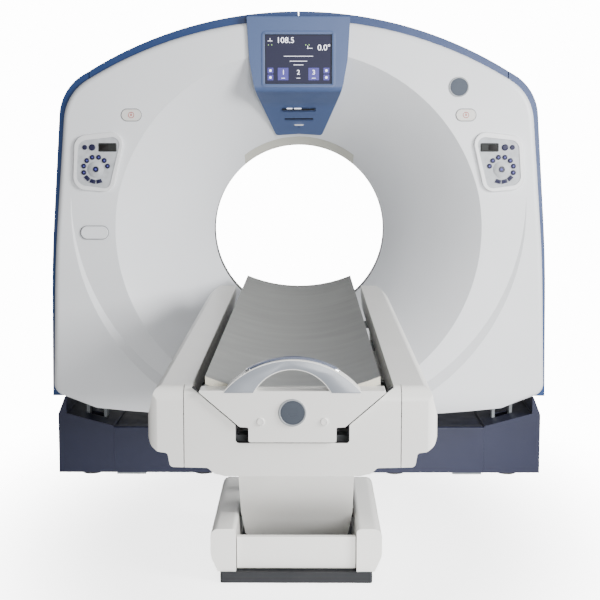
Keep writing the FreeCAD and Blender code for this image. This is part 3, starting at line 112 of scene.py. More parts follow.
def lay_patterns(tree, shader, colour, tone_by, tones, gloss_by=None, gloss=None, relief_by=None,
                 relief=None):
    """Let patterns drive a shader: its tone, its roughness from low to high, and its relief.

    tones are a darker and a lighter factor on the colour, with the part of the pattern that they cover.
    relief is a depth in millimetres and a strength.
    """
    dark, light, low, high = tones
    share = add(tree, "ShaderNodeMapRange", {"Value": tone_by}, {"From Min": low, "From Max": high})
    mix = add(tree, "ShaderNodeMix", {"Factor": share.outputs["Result"]},
              {"A": shade(colour, dark), "B": shade(colour, light)}, data_type="RGBA")
    tree.links.new(mix.outputs["Result"], shader.inputs["Base Color"])
    if gloss:
        range_of = {"From Min": MIDDLE[0], "From Max": MIDDLE[1], "To Min": gloss[0], "To Max": gloss[1]}
        rough = add(tree, "ShaderNodeMapRange", {"Value": gloss_by}, range_of)
        tree.links.new(rough.outputs["Result"], shader.inputs["Roughness"])
    if relief:
        lift = add(tree, "ShaderNodeBump", {"Height": relief_by},
                   {"Distance": relief[0] * MM, "Strength": relief[1]})
        tree.links.new(lift.outputs["Normal"], shader.inputs["Normal"])


def drifting(name, colour, roughness, tone, gloss=None, relief=None, stretch=(1, 1, 1), **values):
    """A finish whose tone, gloss and relief drift in blobs.

    tone is the blobs' size in millimetres, their detail, and the darker and lighter factor on the colour.
    gloss is size, detail, and how far the roughness falls and rises.
    relief is size, detail, depth in millimetres and strength.
    """
    material, tree, shader = start_material(name, colour, roughness, **values)
    place = add(tree, "ShaderNodeTexCoord").outputs["Object"]
    space = add(tree, "ShaderNodeMapping", {"Vector": place}, {"Scale": stretch}).outputs["Vector"]
    blobs = [add(tree, "ShaderNodeTexNoise", {"Vector": space},
                 {"Scale": 1 / (layer[0] * MM), "Detail": layer[1]}).outputs["Fac"] if layer else None
             for layer in (tone, gloss, relief)]
    lay_patterns(tree, shader, colour, blobs[0], tone[2:] + MIDDLE,
                blobs[1], gloss and (roughness - gloss[2], roughness + gloss[3]),
                blobs[2], relief and relief[2:])
    return material


def dotted(name, colour, roughness, size_mm, scatter, tones, relief=None, **values):
    """A finish of small cells, in an even grid at scatter 0 and at random places at scatter 1."""
    material, tree, shader = start_material(name, colour, roughness, **values)
    place = add(tree, "ShaderNodeTexCoord").outputs["Object"]
    cells = add(tree, "ShaderNodeTexVoronoi", {"Vector": place},
                {"Scale": 1 / (size_mm * MM), "Randomness": scatter}).outputs["Distance"]
    lay_patterns(tree, shader, colour, cells, tones, relief_by=cells, relief=relief)
    return material


# ---- Finishes ----
def moulded(name, colour, roughness, peel_mm=2.2, coat=0.0):
    """Moulded polymer under sprayed satin paint: faint orange peel, slow drift in tone and gloss."""
    # Real orange peel is about 1 mm across; it is drawn a little coarser so that it shows.
    return drifting(name, colour, roughness, (420, 3, 0.975, 1.02), (90, 4, 0.04, 0.05),
                    (peel_mm, 1, 0.06, 0.35), IOR=1.49, Coat_Weight=coat, Coat_Roughness=0.16)


def sprayed_steel(name, colour, roughness):
    """Powder-coated sheet steel: a fine, even stipple with a soft sheen."""
    return drifting(name, colour, roughness, (260, 3, 0.94, 1.06), (60, 5, 0.05, 0.06), (1.6, 2, 0.05, 0.4),
                    IOR=1.5)


def worked_metal(name, colour, roughness, stretch, line_mm):
    """Bare metal with tool marks drawn out along one direction, line_mm apart."""
    return drifting(name, colour, roughness, (line_mm, 3, 0.9, 1.08), (line_mm, 3, 0.07, 0.1),
                    (line_mm, 3, 0.02, 0.4), stretch, Metallic=1.0)


def elastomer(name, colour, roughness):
    """Rubber or silicone: matt, with a fine grain and a dusty bloom."""
    return drifting(name, colour, roughness, (24, 5, 0.88, 1.12), relief=(0.9, 2, 0.04, 0.5), IOR=1.43)


def film(name, colour):
    """Tinted polyester film and acrylic: smooth and glossy, with a slight waviness."""
    return drifting(name, colour, 0.2, (130, 2, 0.95, 1.05), (130, 2, 0.04, 0.06), (130, 2, 0.3, 0.25),
                    IOR=1.49, Coat_Weight=0.4, Coat_Roughness=0.06)


def lit_figure(name, colour, strength):
    """Lit or printed figures: flat colour that glows by strength, with a soft grain of 1.5 mm."""
    return drifting(name, colour, 0.4, (1.5, 0, 0.93, 1.05), Emission_Color=colour,
                    Emission_Strength=strength)


def display_glass(name, colour):
    """Anti-glare glass over a lit panel: nearly black with a cast of colour, and a fine dot grid."""
    return dotted(name, colour, 0.55, 2.0, 0.0, (1.1, 0.9, 0.2, 0.6), IOR=1.52, Specular_IOR_Level=0.25,
                  Emission_Color=colour, Emission_Strength=0.35)


def pale_edge_with_highlight(name, colour):
    """Closed-cell foam core sealed with resin: a pale, slightly pitted edge, its paleness partly a painted
    highlight.
    """
    return dotted(name, colour, 0.55, 2.5, 1.0, (0.9, 1.05, 0.1, 0.8), (0.08, 0.4), IOR=1.5)


def laminate(name, colour):
    """Carbon-fibre laminate under clear gel coat: fine lateral streaks of fibre below a glossy skin."""
    material, tree, shader = start_material(name, colour, 0.42, IOR=1.52, Coat_Weight=0.35,
                                            Coat_Roughness=0.22)
    place = add(tree, "ShaderNodeTexCoord").outputs["Object"]
    streaks = []
    # Tows of fibre 3.2 mm wide, and bands of them 60 mm wide, both drawn out across the cradle.
    for stretch, size_mm, detail in ((0.045, 3.2, 4), (0.12, 60, 3)):
        space = add(tree, "ShaderNodeMapping", {"Vector": place}, {"Scale": (stretch, 1, 1)})
        streaks.append(add(tree, "ShaderNodeTexNoise", {"Vector": space.outputs["Vector"]},
                           {"Scale": 1 / (size_mm * MM), "Detail": detail}).outputs["Fac"])
    fibres = streaks[0]
    both = add(tree, "ShaderNodeMath", dict(enumerate(streaks)), operation="ADD").outputs["Value"]
    lay_patterns(tree, shader, colour, both, (0.86, 1.12, 0.75, 1.25), fibres, (0.36, 0.52), fibres,
                 (0.05, 0.5))
    return material


def make_finishes(looks):
    """One material for each of the record's slots, and the extra ones for added pieces."""
    white, blue, console, navy, table = (list(colour) + [1.0] for colour in (
        looks.cover_colour, looks.blue_colour, looks.console_colour, looks.navy_colour, looks.table_colour))
    return {
        # Reaction-moulded polyurethane, sprayed: broad soft highlights, no sparkle.
        "cover_white": moulded("sprayed_polyurethane_white", white, 0.38),
        # Vacuum-formed ABS, sprayed: a little glossier than the white, so its edges catch the light.
        "cover_blue": moulded("sprayed_abs_slate_blue", blue, 0.33),
        "console_blue": moulded("sprayed_abs_console_blue", console, 0.4),
        # Pressed steel, powder coated: dark, with a wide dull sheen.
        "base_navy": sprayed_steel("powder_coated_steel_navy", navy, 0.42),
        "plinth_navy": sprayed_steel("powder_coated_steel_plinth", linear("#0C0F16"), 0.6),
        # Etched glass over a lit panel: dark violet and nearly without reflections.
        "screen": display_glass("anti_glare_display_glass", linear("#24253A")),
        # Thin tinted sheet: a dark, smooth band round the bore.
        "window_film": film("polyester_scan_window", linear("#55585A")),
        # Frosted acrylic: a warm, pale strip that reflects softly.
        "laser_glass": film("frosted_acrylic_strip", linear("#C9C8BD")),
        # Moulded ABS: warmer and smoother than the sprayed covers.
        "stop_cap": moulded("moulded_abs_ivory", linear("#DAD8D4"), 0.36, 1.5),
        # Sprayed and lacquered housing: the brightest white, with a crisp highlight on its rim.
        "pad_housing": moulded("sprayed_abs_keypad_white", linear("#E6E7E9"), 0.3, 1.5, 0.15),
        # Silicone: flat grey with no highlight.
        "key_mat": elastomer("silicone_key_mat_grey", linear("#B5B8BC"), 0.55),
        # Hard moulded key: deep navy with a small highlight.
        "hard_key": moulded("moulded_abs_key_navy", linear("#12133A"), 0.35, 1.2),
        # Primed steel: chalky mid grey.
        "frame_paint": sprayed_steel("primed_steel_grey", linear("#8B9093"), 0.5),
        # Ground steel: bright, with rings of fine lines.
        "bearing_steel": worked_metal("ground_bearing_steel", linear("#B9BABB"), 0.28, (1, 12, 1), 40),
        # Machined casting: pale and satin, with turning marks.
        "rotor_alloy": worked_metal("cast_aluminium_machined", linear("#C6C8CA"), 0.34, (1, 8, 1), 30),
        # Hobbed steel: dark grey, lined across its teeth.
        "gear_steel": worked_metal("hobbed_gear_steel", linear("#86868A"), 0.38, (0.2, 1, 1), 6),
        # Painted cast iron: rough and nearly black.
        "motor_paint": sprayed_steel("cast_iron_motor_paint", linear("#3A3D42"), 0.48),
        # Neoprene: dead matt black.
        "belt_rubber": elastomer("neoprene_belt_black", linear("#191919"), 0.7),
        # Turned bronze: warm, polished tracks.
        "slip_copper": worked_metal("turned_bronze_rings", linear("#B08A5A"), 0.3, (1, 14, 1), 30),
        # Enamelled housing: cream, smooth.
        "tube_paint": sprayed_steel("enamelled_tube_housing", linear("#C9C5B8"), 0.4),
        # Brushed sheet: fine lines that stretch the highlights.
        "electronics_case": worked_metal("brushed_aluminium_case", linear("#B4B8BB"), 0.36, (0.06, 1, 1),
                                         2.5),
        # Sprayed polyurethane again, a warmer white on the table, its parts a shade apart.
        "table_beige": moulded("sprayed_polyurethane_ivory", table, 0.36),
        "table_white": moulded("sprayed_polyurethane_table", shade(table, 1.0), 0.36),
        "leg_white": moulded("sprayed_polyurethane_leg", shade(table, 1.01), 0.34),
        "shield_white": moulded("sprayed_polyurethane_shield", shade(table, 0.99), 0.4),
        "cap_white": moulded("sprayed_polyurethane_cap", shade(table, 0.98), 0.33, 1.6, 0.1),
        # Powder-coated arms: dull black, lost in the shade of the covers.
        "arm_paint": sprayed_steel("powder_coated_arm_black", linear("#2A2C30"), 0.5),
        # Gel-coated laminate: grey with fine streaks from side to side.
        "carbon_top": laminate("carbon_laminate_gel_coat", linear("#8E8F8C")),
        # Lacquered zinc: slate blue with a glossy skin.
        "bar_blue": moulded("sprayed_zinc_bar_blue", linear("#4E566B"), 0.3, 1.5, 0.3),
        # Painted iron: rough black.
        "pad_feet": sprayed_steel("cast_iron_foot", linear("#2B2B2B"), 0.6),
        # The rest are finishes of added pieces only. Sealed foam core: pale and slightly pitted, the
        # paleness partly a painted highlight on the cradle's end.
        "edge": pale_edge_with_highlight("pale_core_edge_painted_highlight", linear("#CFCBBB")),
        # Rubber seals, matt. The grey one outlines the buttons: its grey is painted shade of the groove
        # round them.
        "grey_groove_shade": elastomer("moulded_grey_painted_groove_shade", linear("#6E7075"), 0.6),
        # The black one reads as a gap: its black is painted shade of gaps, slots and holes.
        "black_gap_shade": elastomer("epdm_black_painted_gap_shade", linear("#1B1C1F"), 0.6),
        # Silicone caps: navy, a little shinier than their mat.
        "key_dark": elastomer("silicone_key_navy", linear("#12133A"), 0.45),
        # Printed legends, lit from behind: violet and lavender.
        "legend": lit_figure("printed_legend_violet", linear("#4A4AB0"), 0.12),
        "legend_pale": lit_figure("printed_legend_lavender", linear("#7070C4"), 0.0),
        # Lit parts of the display: white figures, violet tiles, green marks.
        "figure_white": lit_figure("display_figures_white", linear("#F2F4FF"), 1.6),
        "tile_violet": lit_figure("display_tile_violet", linear("#3E3A86"), 0.6),
        "tile_green": lit_figure("display_mark_green", linear("#9CCB7A"), 0.9),
        # Etched zinc: dull dark grey with fine lines. Its rim is plated satin, and catches the light.
        "badge_field": worked_metal("etched_zinc_badge", linear("#4A4F57"), 0.5, (0.08, 1, 1), 1.6),
        "badge_rim": moulded("plated_rim_satin", linear("#8E9296"), 0.3, 1.5, 0.3),
        # Chromed zinc: a sharp, bright reflection.
        "chrome": worked_metal("chromed_zinc", linear("#D9DBDE"), 0.12, (1, 1, 1), 50),
        # Printed ink: flat red.
        "warning_red": moulded("printed_red", linear("#B9403C"), 0.4, 1.0),
        # Keypad display: black glass in a dull black bezel.
        "lcd": display_glass("keypad_lcd_glass", linear("#0B0808")),
        "lcd_bezel": moulded("moulded_abs_bezel", linear("#101312"), 0.6, 1.2),
        # Metallic lacquer: silver with a soft, wide highlight.
        "silver": moulded("sprayed_metallic_silver", linear("#8C9199"), 0.3, 1.2, 0.3),
    }


FINISH = {}


# ---- Modelling helpers ----
def nothing_selected():
    """Object mode with nothing selected."""
    if bpy.context.object and bpy.context.object.mode != "OBJECT":
        bpy.ops.object.mode_set(mode="OBJECT")
    bpy.ops.object.select_all(action="DESELECT")


def pick(kind, test):
    """In edit mode, select only the faces, edges or vertices that pass a test on centre and direction."""
    mesh = bpy.context.object.data
    bpy.ops.mesh.select_mode(type=kind)
    bpy.ops.mesh.select_all(action="DESELECT")
    form = bmesh.from_edit_mesh(mesh)
    if kind == "FACE":
        for face in form.faces:
            face.select_set(test(face.calc_center_median(), face.normal))
    elif kind == "EDGE":
        for edge in form.edges:
            start, end = (vert.co for vert in edge.verts)
            if test((start + end) / 2, (end - start).normalized()):
                edge.select_set(True)
    else:
        for vert in form.verts:
            vert.select_set(test(vert.co, vert.normal))
    form.select_flush_mode()
    bmesh.update_edit_mesh(mesh)


def front_disc(radius, depth, at, sides=64):
    """Start a round piece that faces the table, its back at the given place; left in edit mode."""
    nothing_selected()
    bpy.ops.mesh.primitive_cylinder_add(vertices=sides, radius=radius, depth=depth,
                                        location=(at[0], at[1] - depth / 2, at[2]),
                                        rotation=(math.pi / 2, 0, 0))
    bpy.ops.object.transform_apply(location=True, rotation=True, scale=True)
    bpy.ops.object.mode_set(mode="EDIT")


def front_block(width, depth, height, at):
    """Start a square-cornered piece that faces the table, its back at the given place; left in edit mode."""
    nothing_selected()
    bpy.ops.mesh.primitive_cube_add(size=1, location=(at[0], at[1] - depth / 2, at[2]))
    bpy.context.object.scale = (width, depth, height)
    bpy.ops.object.transform_apply(location=True, rotation=True, scale=True)
    bpy.ops.object.mode_set(mode="EDIT")


def facing_front(centre, normal):
    return normal.y < -0.9


def facing_back(centre, normal):
    return normal.y > 0.9


def step_in(margin, depth):
    """Inset the front face by a margin, then move what is left back by a depth."""
    bpy.ops.mesh.inset(thickness=margin)
    bpy.ops.mesh.extrude_region_move(TRANSFORM_OT_translate={"value": (0, depth, 0)})


def open_frame(margin):
    """Take out the middle of the front face and the whole back face, which leaves a frame."""
    pick("FACE", facing_front)
    bpy.ops.mesh.inset(thickness=margin)
    bpy.ops.mesh.delete(type="FACE")
    pick("FACE", facing_back)
    bpy.ops.mesh.delete(type="FACE")


def round_corners(radius, segments=4):
    """Round the edges that run back from the front face."""
    pick("EDGE", lambda centre, along: abs(along.y) > 0.9)
    bpy.ops.mesh.bevel(offset=radius, segments=segments, affect="EDGES")


def soften_front(width, segments=3):
    """Round the outline of the front face."""
    front_y = min(v.co.y for v in bmesh.from_edit_mesh(bpy.context.object.data).verts)
    pick("EDGE", lambda centre, along: abs(centre.y - front_y) < FLUSH and abs(along.y) < 0.1)
    bpy.ops.mesh.bevel(offset=width, segments=segments, affect="EDGES")


def stretch_pill(at, reach):
    """Pull the two halves of a disc apart, so that it becomes a pill."""
    pick("VERT", lambda place, normal: place.x > at[0] + 10 * FLUSH)
    bpy.ops.transform.translate(value=(reach, 0, 0))
    pick("VERT", lambda place, normal: place.x < at[0] + 10 * FLUSH)
    bpy.ops.transform.translate(value=(-reach, 0, 0))


def out_of_edit():
    """Leave edit mode and return the piece."""
    bpy.ops.object.mode_set(mode="OBJECT")
    return bpy.context.object


def turn_about(piece, centre, angle):
    """Turn a piece's mesh about the line through a centre that runs back from the front."""
    here = Matrix.Translation(Vector((centre.x, 0, centre.z)))
    piece.data.transform(here @ Matrix.Rotation(angle, 4, "Y") @ here.inverted())


def cut_away(piece, tool):
    """Cut a tool's shape out of a piece, and remove the tool."""
    nothing_selected()
    piece.select_set(True)
    bpy.context.view_layer.objects.active = piece
    cut = piece.modifiers.new("opening", "BOOLEAN")
    cut.operation = "DIFFERENCE"
    cut.object = tool
    bpy.ops.object.modifier_apply(modifier="opening")
    bpy.data.objects.remove(tool)


def complete(name, body, finishes):
    """Leave edit mode, name and finish the piece, and let it ride on its body."""
    if bpy.context.object.mode != "OBJECT":
        bpy.ops.object.mode_set(mode="OBJECT")
    piece = bpy.context.object
    bpy.ops.object.transform_apply(location=True, rotation=True, scale=True)
    piece.name = name
    piece.data.name = name
    for finish in finishes:
        piece.data.materials.append(FINISH[finish])
    bpy.ops.object.shade_smooth_by_angle(angle=math.radians(35))
    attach(piece, body)


def join_all(pieces):
    """Join pieces into the first of them, which becomes active."""
    nothing_selected()
    for piece in pieces:
        piece.select_set(True)
    bpy.context.view_layer.objects.active = pieces[0]
    bpy.ops.object.join()


def copied(piece, place):
    """A copy of a piece with its own mesh, which the given matrix moves."""
    twin = piece.copy()
    twin.data = piece.data.copy()
    bpy.context.scene.collection.objects.link(twin)
    twin.data.transform(place)
    return twin


# ---- Sizes and colours that a user would change ----
def colour_of(title, text, code):
    return FloatVectorProperty(name=title, description=text, subtype="COLOR", min=0, max=1,
                               default=linear(code)[:3])


def length_of(title, text, size_mm):
    return FloatProperty(name=title, description=text, unit="LENGTH", default=size_mm * MM)


class ScannerLooks(bpy.types.PropertyGroup):
    """Colours of the scanner's covers."""

    cover_colour: colour_of("Gantry covers", "Colour of the front and rear covers", "#E4E6E9")
    blue_colour: colour_of("Wrap covers", "Colour of the top and side covers", "#213A68")
    console_colour: colour_of("Console", "Colour of the display console", "#485B84")
    navy_colour: colour_of("Base", "Colour of the base covers", "#181D38")
    table_colour: colour_of("Table", "Colour of the table's covers", "#E8E7E3")


class ScannerSizes(bpy.types.PropertyGroup):
    """Sizes of the scanner's small parts."""

    badge_radius: length_of("Badge radius", "Plain round badge on the gantry", 38)
    roundel_radius: length_of("Roundel radius", "Plain round badge on the cradle's end", 33)
    key_radius: length_of("Key radius", "Round keys of the keypads", 9.6)
    figure_height: length_of("Figure height", "Large figures on the display", 30)
    cap_width: length_of("Access cap width", "Blank cap on the front cover", 105)


class ScannerStudio(bpy.types.PropertyGroup):
    """Lights round the scanner."""

    key_power: FloatProperty(name="Key light", description="Large soft light, front right", unit="POWER",
                             default=285.0)
    fill_power: FloatProperty(name="Fill light", description="Wide light from the left", unit="POWER",
                              default=5.0)
    front_power: FloatProperty(name="Front light", description="Soft light on the table's end",
                               unit="POWER", default=170.0)
    top_power: FloatProperty(name="Top light", description="Overhead light", unit="POWER", default=18.0)
    floor_glow: FloatProperty(name="Floor glow", description="Light that the floor gives back", min=0,
                              default=1.1)
    surround_light: FloatProperty(name="Surround light", description="Light that the surround gives",
                                  min=0, default=0.25)
    surround_look: FloatProperty(name="Surround brightness", description="How bright the surround looks",
                                 min=0, default=14.0)


# ---- Operators ----
class SCANNER_OT_finishes(bpy.types.Operator):
    """Give every frame piece its material"""

    bl_idname = "scanner.finishes"
    bl_label = "Finishes"

    def execute(self, context):
        FINISH.update(make_finishes(context.scene.scanner_looks))
        for row in frame["record"]["subparts"]:
            piece = frame["nodes"][row["node"]]
            piece.data.materials.clear()
            piece.data.materials.append(FINISH[row["material_slot"]])
        return {"FINISHED"}


class SCANNER_OT_badges(bpy.types.Operator):
    """Plain round badges on the gantry and the cradle's end, and two screw caps"""

    bl_idname = "scanner.badges"
    bl_label = "Badges"

    def round_badge(self, name, radius, at, body, slot):
        """A disc with a bevelled rim, a groove inside it and a raised middle."""
        front_disc(radius, 4 * MM, at)
        pick("FACE", facing_front)
        step_in(radius * 0.13, 1.4 * MM)
        step_in(radius * 0.1, -0.7 * MM)
        step_in(radius * 0.42, 0.5 * MM)
        soften_front(0.8 * MM)
        complete(name, body, ["badge_rim", "badge_field"])
        # The field is all that lies in front of the disc's back and inside its rim.
        for face in bpy.context.object.data.polygons:
            out = math.hypot(face.center.x - at[0], face.center.z - at[2])
            if out < radius * 0.865 and face.center.y < at[1] - 1 * MM:
                face.material_index = 1

    def execute(self, context):
        sizes = context.scene.scanner_sizes
        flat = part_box("keypad_housing_right")[1].y
        self.round_badge("gantry_badge", sizes.badge_radius, (0.607, flat, 1.586), "gantry", "stop_cap")
        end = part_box("cradle_end_cap")[0].y
        self.round_badge("table_roundel", sizes.roundel_radius, (0.0, end, 0.759), "cradle", "cap_white")
        for side, sign in SIDES.items():
            front_disc(9.5 * MM, 3 * MM, (sign * 0.075, end, 0.737), 40)
            soften_front(1.2 * MM)
            pick("FACE", facing_front)
            step_in(2 * MM, 0.4 * MM)
            complete("screw_cap_" + side, "cradle", ["cap_white"])
        return {"FINISHED"}


class SCANNER_OT_access_cap(bpy.types.Operator):
    """Blank pill-shaped cap on the front cover"""

    bl_idname = "scanner.access_cap"
    bl_label = "Access cap"

    def execute(self, context):
        reach = context.scene.scanner_sizes.cap_width / 2 - CAP_RADIUS
        at = (CAP_X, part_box("keypad_housing_left")[1].y, CAP_Z)
        front_disc(CAP_RADIUS, 3.5 * MM, at)
        stretch_pill(at, reach)
        soften_front(1.6 * MM)
        pick("FACE", facing_front)
        step_in(3 * MM, 0.8 * MM)
        complete("access_cap", "gantry", ["cover_white"])
        return {"FINISHED"}


class SCANNER_OT_surrounds(bpy.types.Operator):
    """Grey rubber surrounds of the stop buttons and the access cap, their grey painted shade of the groove
    round them
    """

    bl_idname = "scanner.surrounds"
    bl_label = "Surrounds"

    def surround(self, name, at, half_width, radius, band):
        """A flat pill-shaped band round an opening in the front cover, its grey painted shade of the groove.
        """
        reach = half_width - radius
        front_disc(radius + band, 1.4 * MM, at)
        stretch_pill(at, reach)
        soften_front(0.5 * MM)
        ring = out_of_edit()
        front_disc(radius, 8 * MM, (at[0], at[1] + 4 * MM, at[2]))
        stretch_pill(at, reach)
        cut_away(ring, out_of_edit())
        complete(name, "gantry", ["grey_groove_shade"])

    def execute(self, context):
        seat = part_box("keypad_housing_left")[1].y + 0.3 * MM
        clear = 1.0 * MM
        for side in SIDES:
            low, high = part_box("stop_button_" + side)
            middle, half = (low + high) / 2, (high - low) / 2
            self.surround("stop_groove_shade_" + side, (middle.x, seat, middle.z), half.x + clear,
                          half.z + clear, 1.8 * MM)
        half_cap = context.scene.scanner_sizes.cap_width / 2
        clear = 0.4 * MM
        self.surround("access_cap_groove_shade", (CAP_X, seat, CAP_Z), half_cap + clear, CAP_RADIUS + clear,
                      2.2 * MM)
        return {"FINISHED"}


class SCANNER_OT_stop_marks(bpy.types.Operator):
    """Red ring and bar on each stop button"""

    bl_idname = "scanner.stop_marks"
    bl_label = "Stop marks"

    def execute(self, context):
        for side in SIDES:
            low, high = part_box("stop_button_" + side)
            at = ((low.x + high.x) / 2, low.y, (low.z + high.z) / 2)
            nothing_selected()
            bpy.ops.mesh.primitive_torus_add(major_radius=10.5 * MM, minor_radius=1.1 * MM,
                                             major_segments=48, minor_segments=8, location=at,
                                             rotation=(math.pi / 2, 0, 0))
            bpy.ops.object.transform_apply(location=True, rotation=True, scale=True)
            ring = bpy.context.object
            front_disc(3.4 * MM, 0.9 * MM, at, 24)
            soften_front(0.4 * MM, 2)
            dot = out_of_edit()
            front_block(1.8 * MM, 0.8 * MM, 8 * MM, (at[0], at[1], at[2] + 6.5 * MM))
            soften_front(0.3 * MM, 2)
            join_all([ring, dot, out_of_edit()])
            complete("stop_mark_" + side, "stop_button_" + side, ["warning_red"])
        return {"FINISHED"}


class SCANNER_OT_keypads(bpy.types.Operator):
    """Key caps, legends and small displays on the keypads"""

    bl_idname = "scanner.keypads"
    bl_label = "Keypads"

    def cap(self, radius, spot, plate):
        """One domed key cap with a dished top."""
        front_disc(radius, 3.6 * MM, (spot.x, plate, spot.z), 32)
        soften_front(1.0 * MM)
        pick("FACE", facing_front)
        step_in(radius * 0.3, 0.5 * MM)
        return out_of_edit()

    def bar(self, spot, plate, angle):
        """One wide key, narrower at its outer side."""
        front_block(23 * MM, 3.6 * MM, 14.8 * MM, (spot.x, plate, spot.z))
        pick("VERT", lambda place, normal: place.z > spot.z)
        bpy.ops.transform.resize(value=(0.82, 1, 1), center_override=spot)
        round_corners(2 * MM)
        soften_front(0.9 * MM)
        piece = out_of_edit()
        turn_about(piece, spot, angle)
        return piece

    def legend(self, radius, at, sides):
        """One lit dot on a key."""
        front_disc(radius, 0.5 * MM, at, sides)
        soften_front(0.2 * MM, 2)
        return out_of_edit()

    def execute(self, context):
        radius = context.scene.scanner_sizes.key_radius
        for side, sign in SIDES.items():
            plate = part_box("keypad_mat_" + side)[0].y + 3 * MM
            low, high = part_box("keypad_key_" + side)
            centre = Vector(((low.x + high.x) / 2, 0, (low.z + high.z) / 2))

            def spot(turn):
                return centre + KEY_RING * Vector((sign * math.cos(turn), 0, math.sin(turn)))

            rounds = [spot(KEY_START + i * KEY_STEP) for i in range(7)]
            turns = [KEY_START - i * KEY_STEP for i in (1, 2, 3)]
            first = self.cap(radius, rounds[0], plate)
            caps = [first] + [copied(first, Matrix.Translation(key - rounds[0])) for key in rounds[1:]]
            for out, size in TOP_KEYS:
                caps.append(self.cap(size + 0.3 * MM, centre + Vector((sign * out, 0, TOP_ROW)), plate))
            caps += [self.bar(spot(turn), plate, -sign * (turn + math.pi / 2)) for turn in turns]
            join_all(caps)
            complete("key_caps_" + side, "gantry", ["key_dark"])

            join_all([self.legend(2.7 * MM, (key.x, plate - 3.1 * MM, key.z), 20)
                      for key in rounds + [spot(turn) for turn in turns]])
            complete("key_legends_" + side, "gantry", ["legend"])
            self.ring_pad(side, centre, plate)
            self.legend(3.6 * MM, (centre.x, low.y, centre.z), 28)
            complete("centre_legend_" + side, "keypad_key_" + side, ["legend"])
            self.window(side, sign, centre, plate)
        return {"FINISHED"}

    def ring_pad(self, side, centre, plate):
        """Raised ring with four marks, round the centre key."""
        radius, hole = 30 * MM, 12.4 * MM
        front_disc(radius, 2.6 * MM, (centre.x, plate, centre.z))
        soften_front(0.9 * MM)
        open_frame(radius - hole)
        pick("EDGE", lambda c, along: math.hypot(c.x - centre.x, c.z - centre.z) < hole + 1.1 * MM)
        bpy.ops.mesh.extrude_region_move(TRANSFORM_OT_translate={"value": (0, 2.4 * MM, 0)})
        complete("ring_pad_" + side, "gantry", ["key_mat"])

        marks = []
        for quarter in range(4):
            front_block(9 * MM, 0.5 * MM, 5 * MM, (centre.x, plate - 2.5 * MM, centre.z + 21.5 * MM))
            round_corners(2.2 * MM, 4)
            marks.append(out_of_edit())
            turn_about(marks[-1], centre, math.radians(90 * quarter))
        join_all(marks)
        complete("ring_marks_" + side, "gantry", ["legend_pale"])

    def window(self, side, sign, centre, plate):
        """Small display in a dark bezel, its lit part the half nearer the keys."""
        x, z = centre.x - sign * 46.5 * MM, centre.z + TOP_ROW
        front_block(69 * MM, 2.2 * MM, 32.5 * MM, (x, plate, z))
        round_corners(4 * MM)
        soften_front(0.8 * MM)
        pick("FACE", facing_front)
        step_in(3.5 * MM, 1.0 * MM)
        complete("keypad_window_" + side, "gantry", ["lcd_bezel"])
        front_block(33 * MM, 1.4 * MM, 20 * MM, (x + sign * 12.5 * MM, plate - 0.6 * MM, z))
        round_corners(1.5 * MM)
        soften_front(0.3 * MM, 2)
        complete("keypad_glass_" + side, "gantry", ["lcd"])


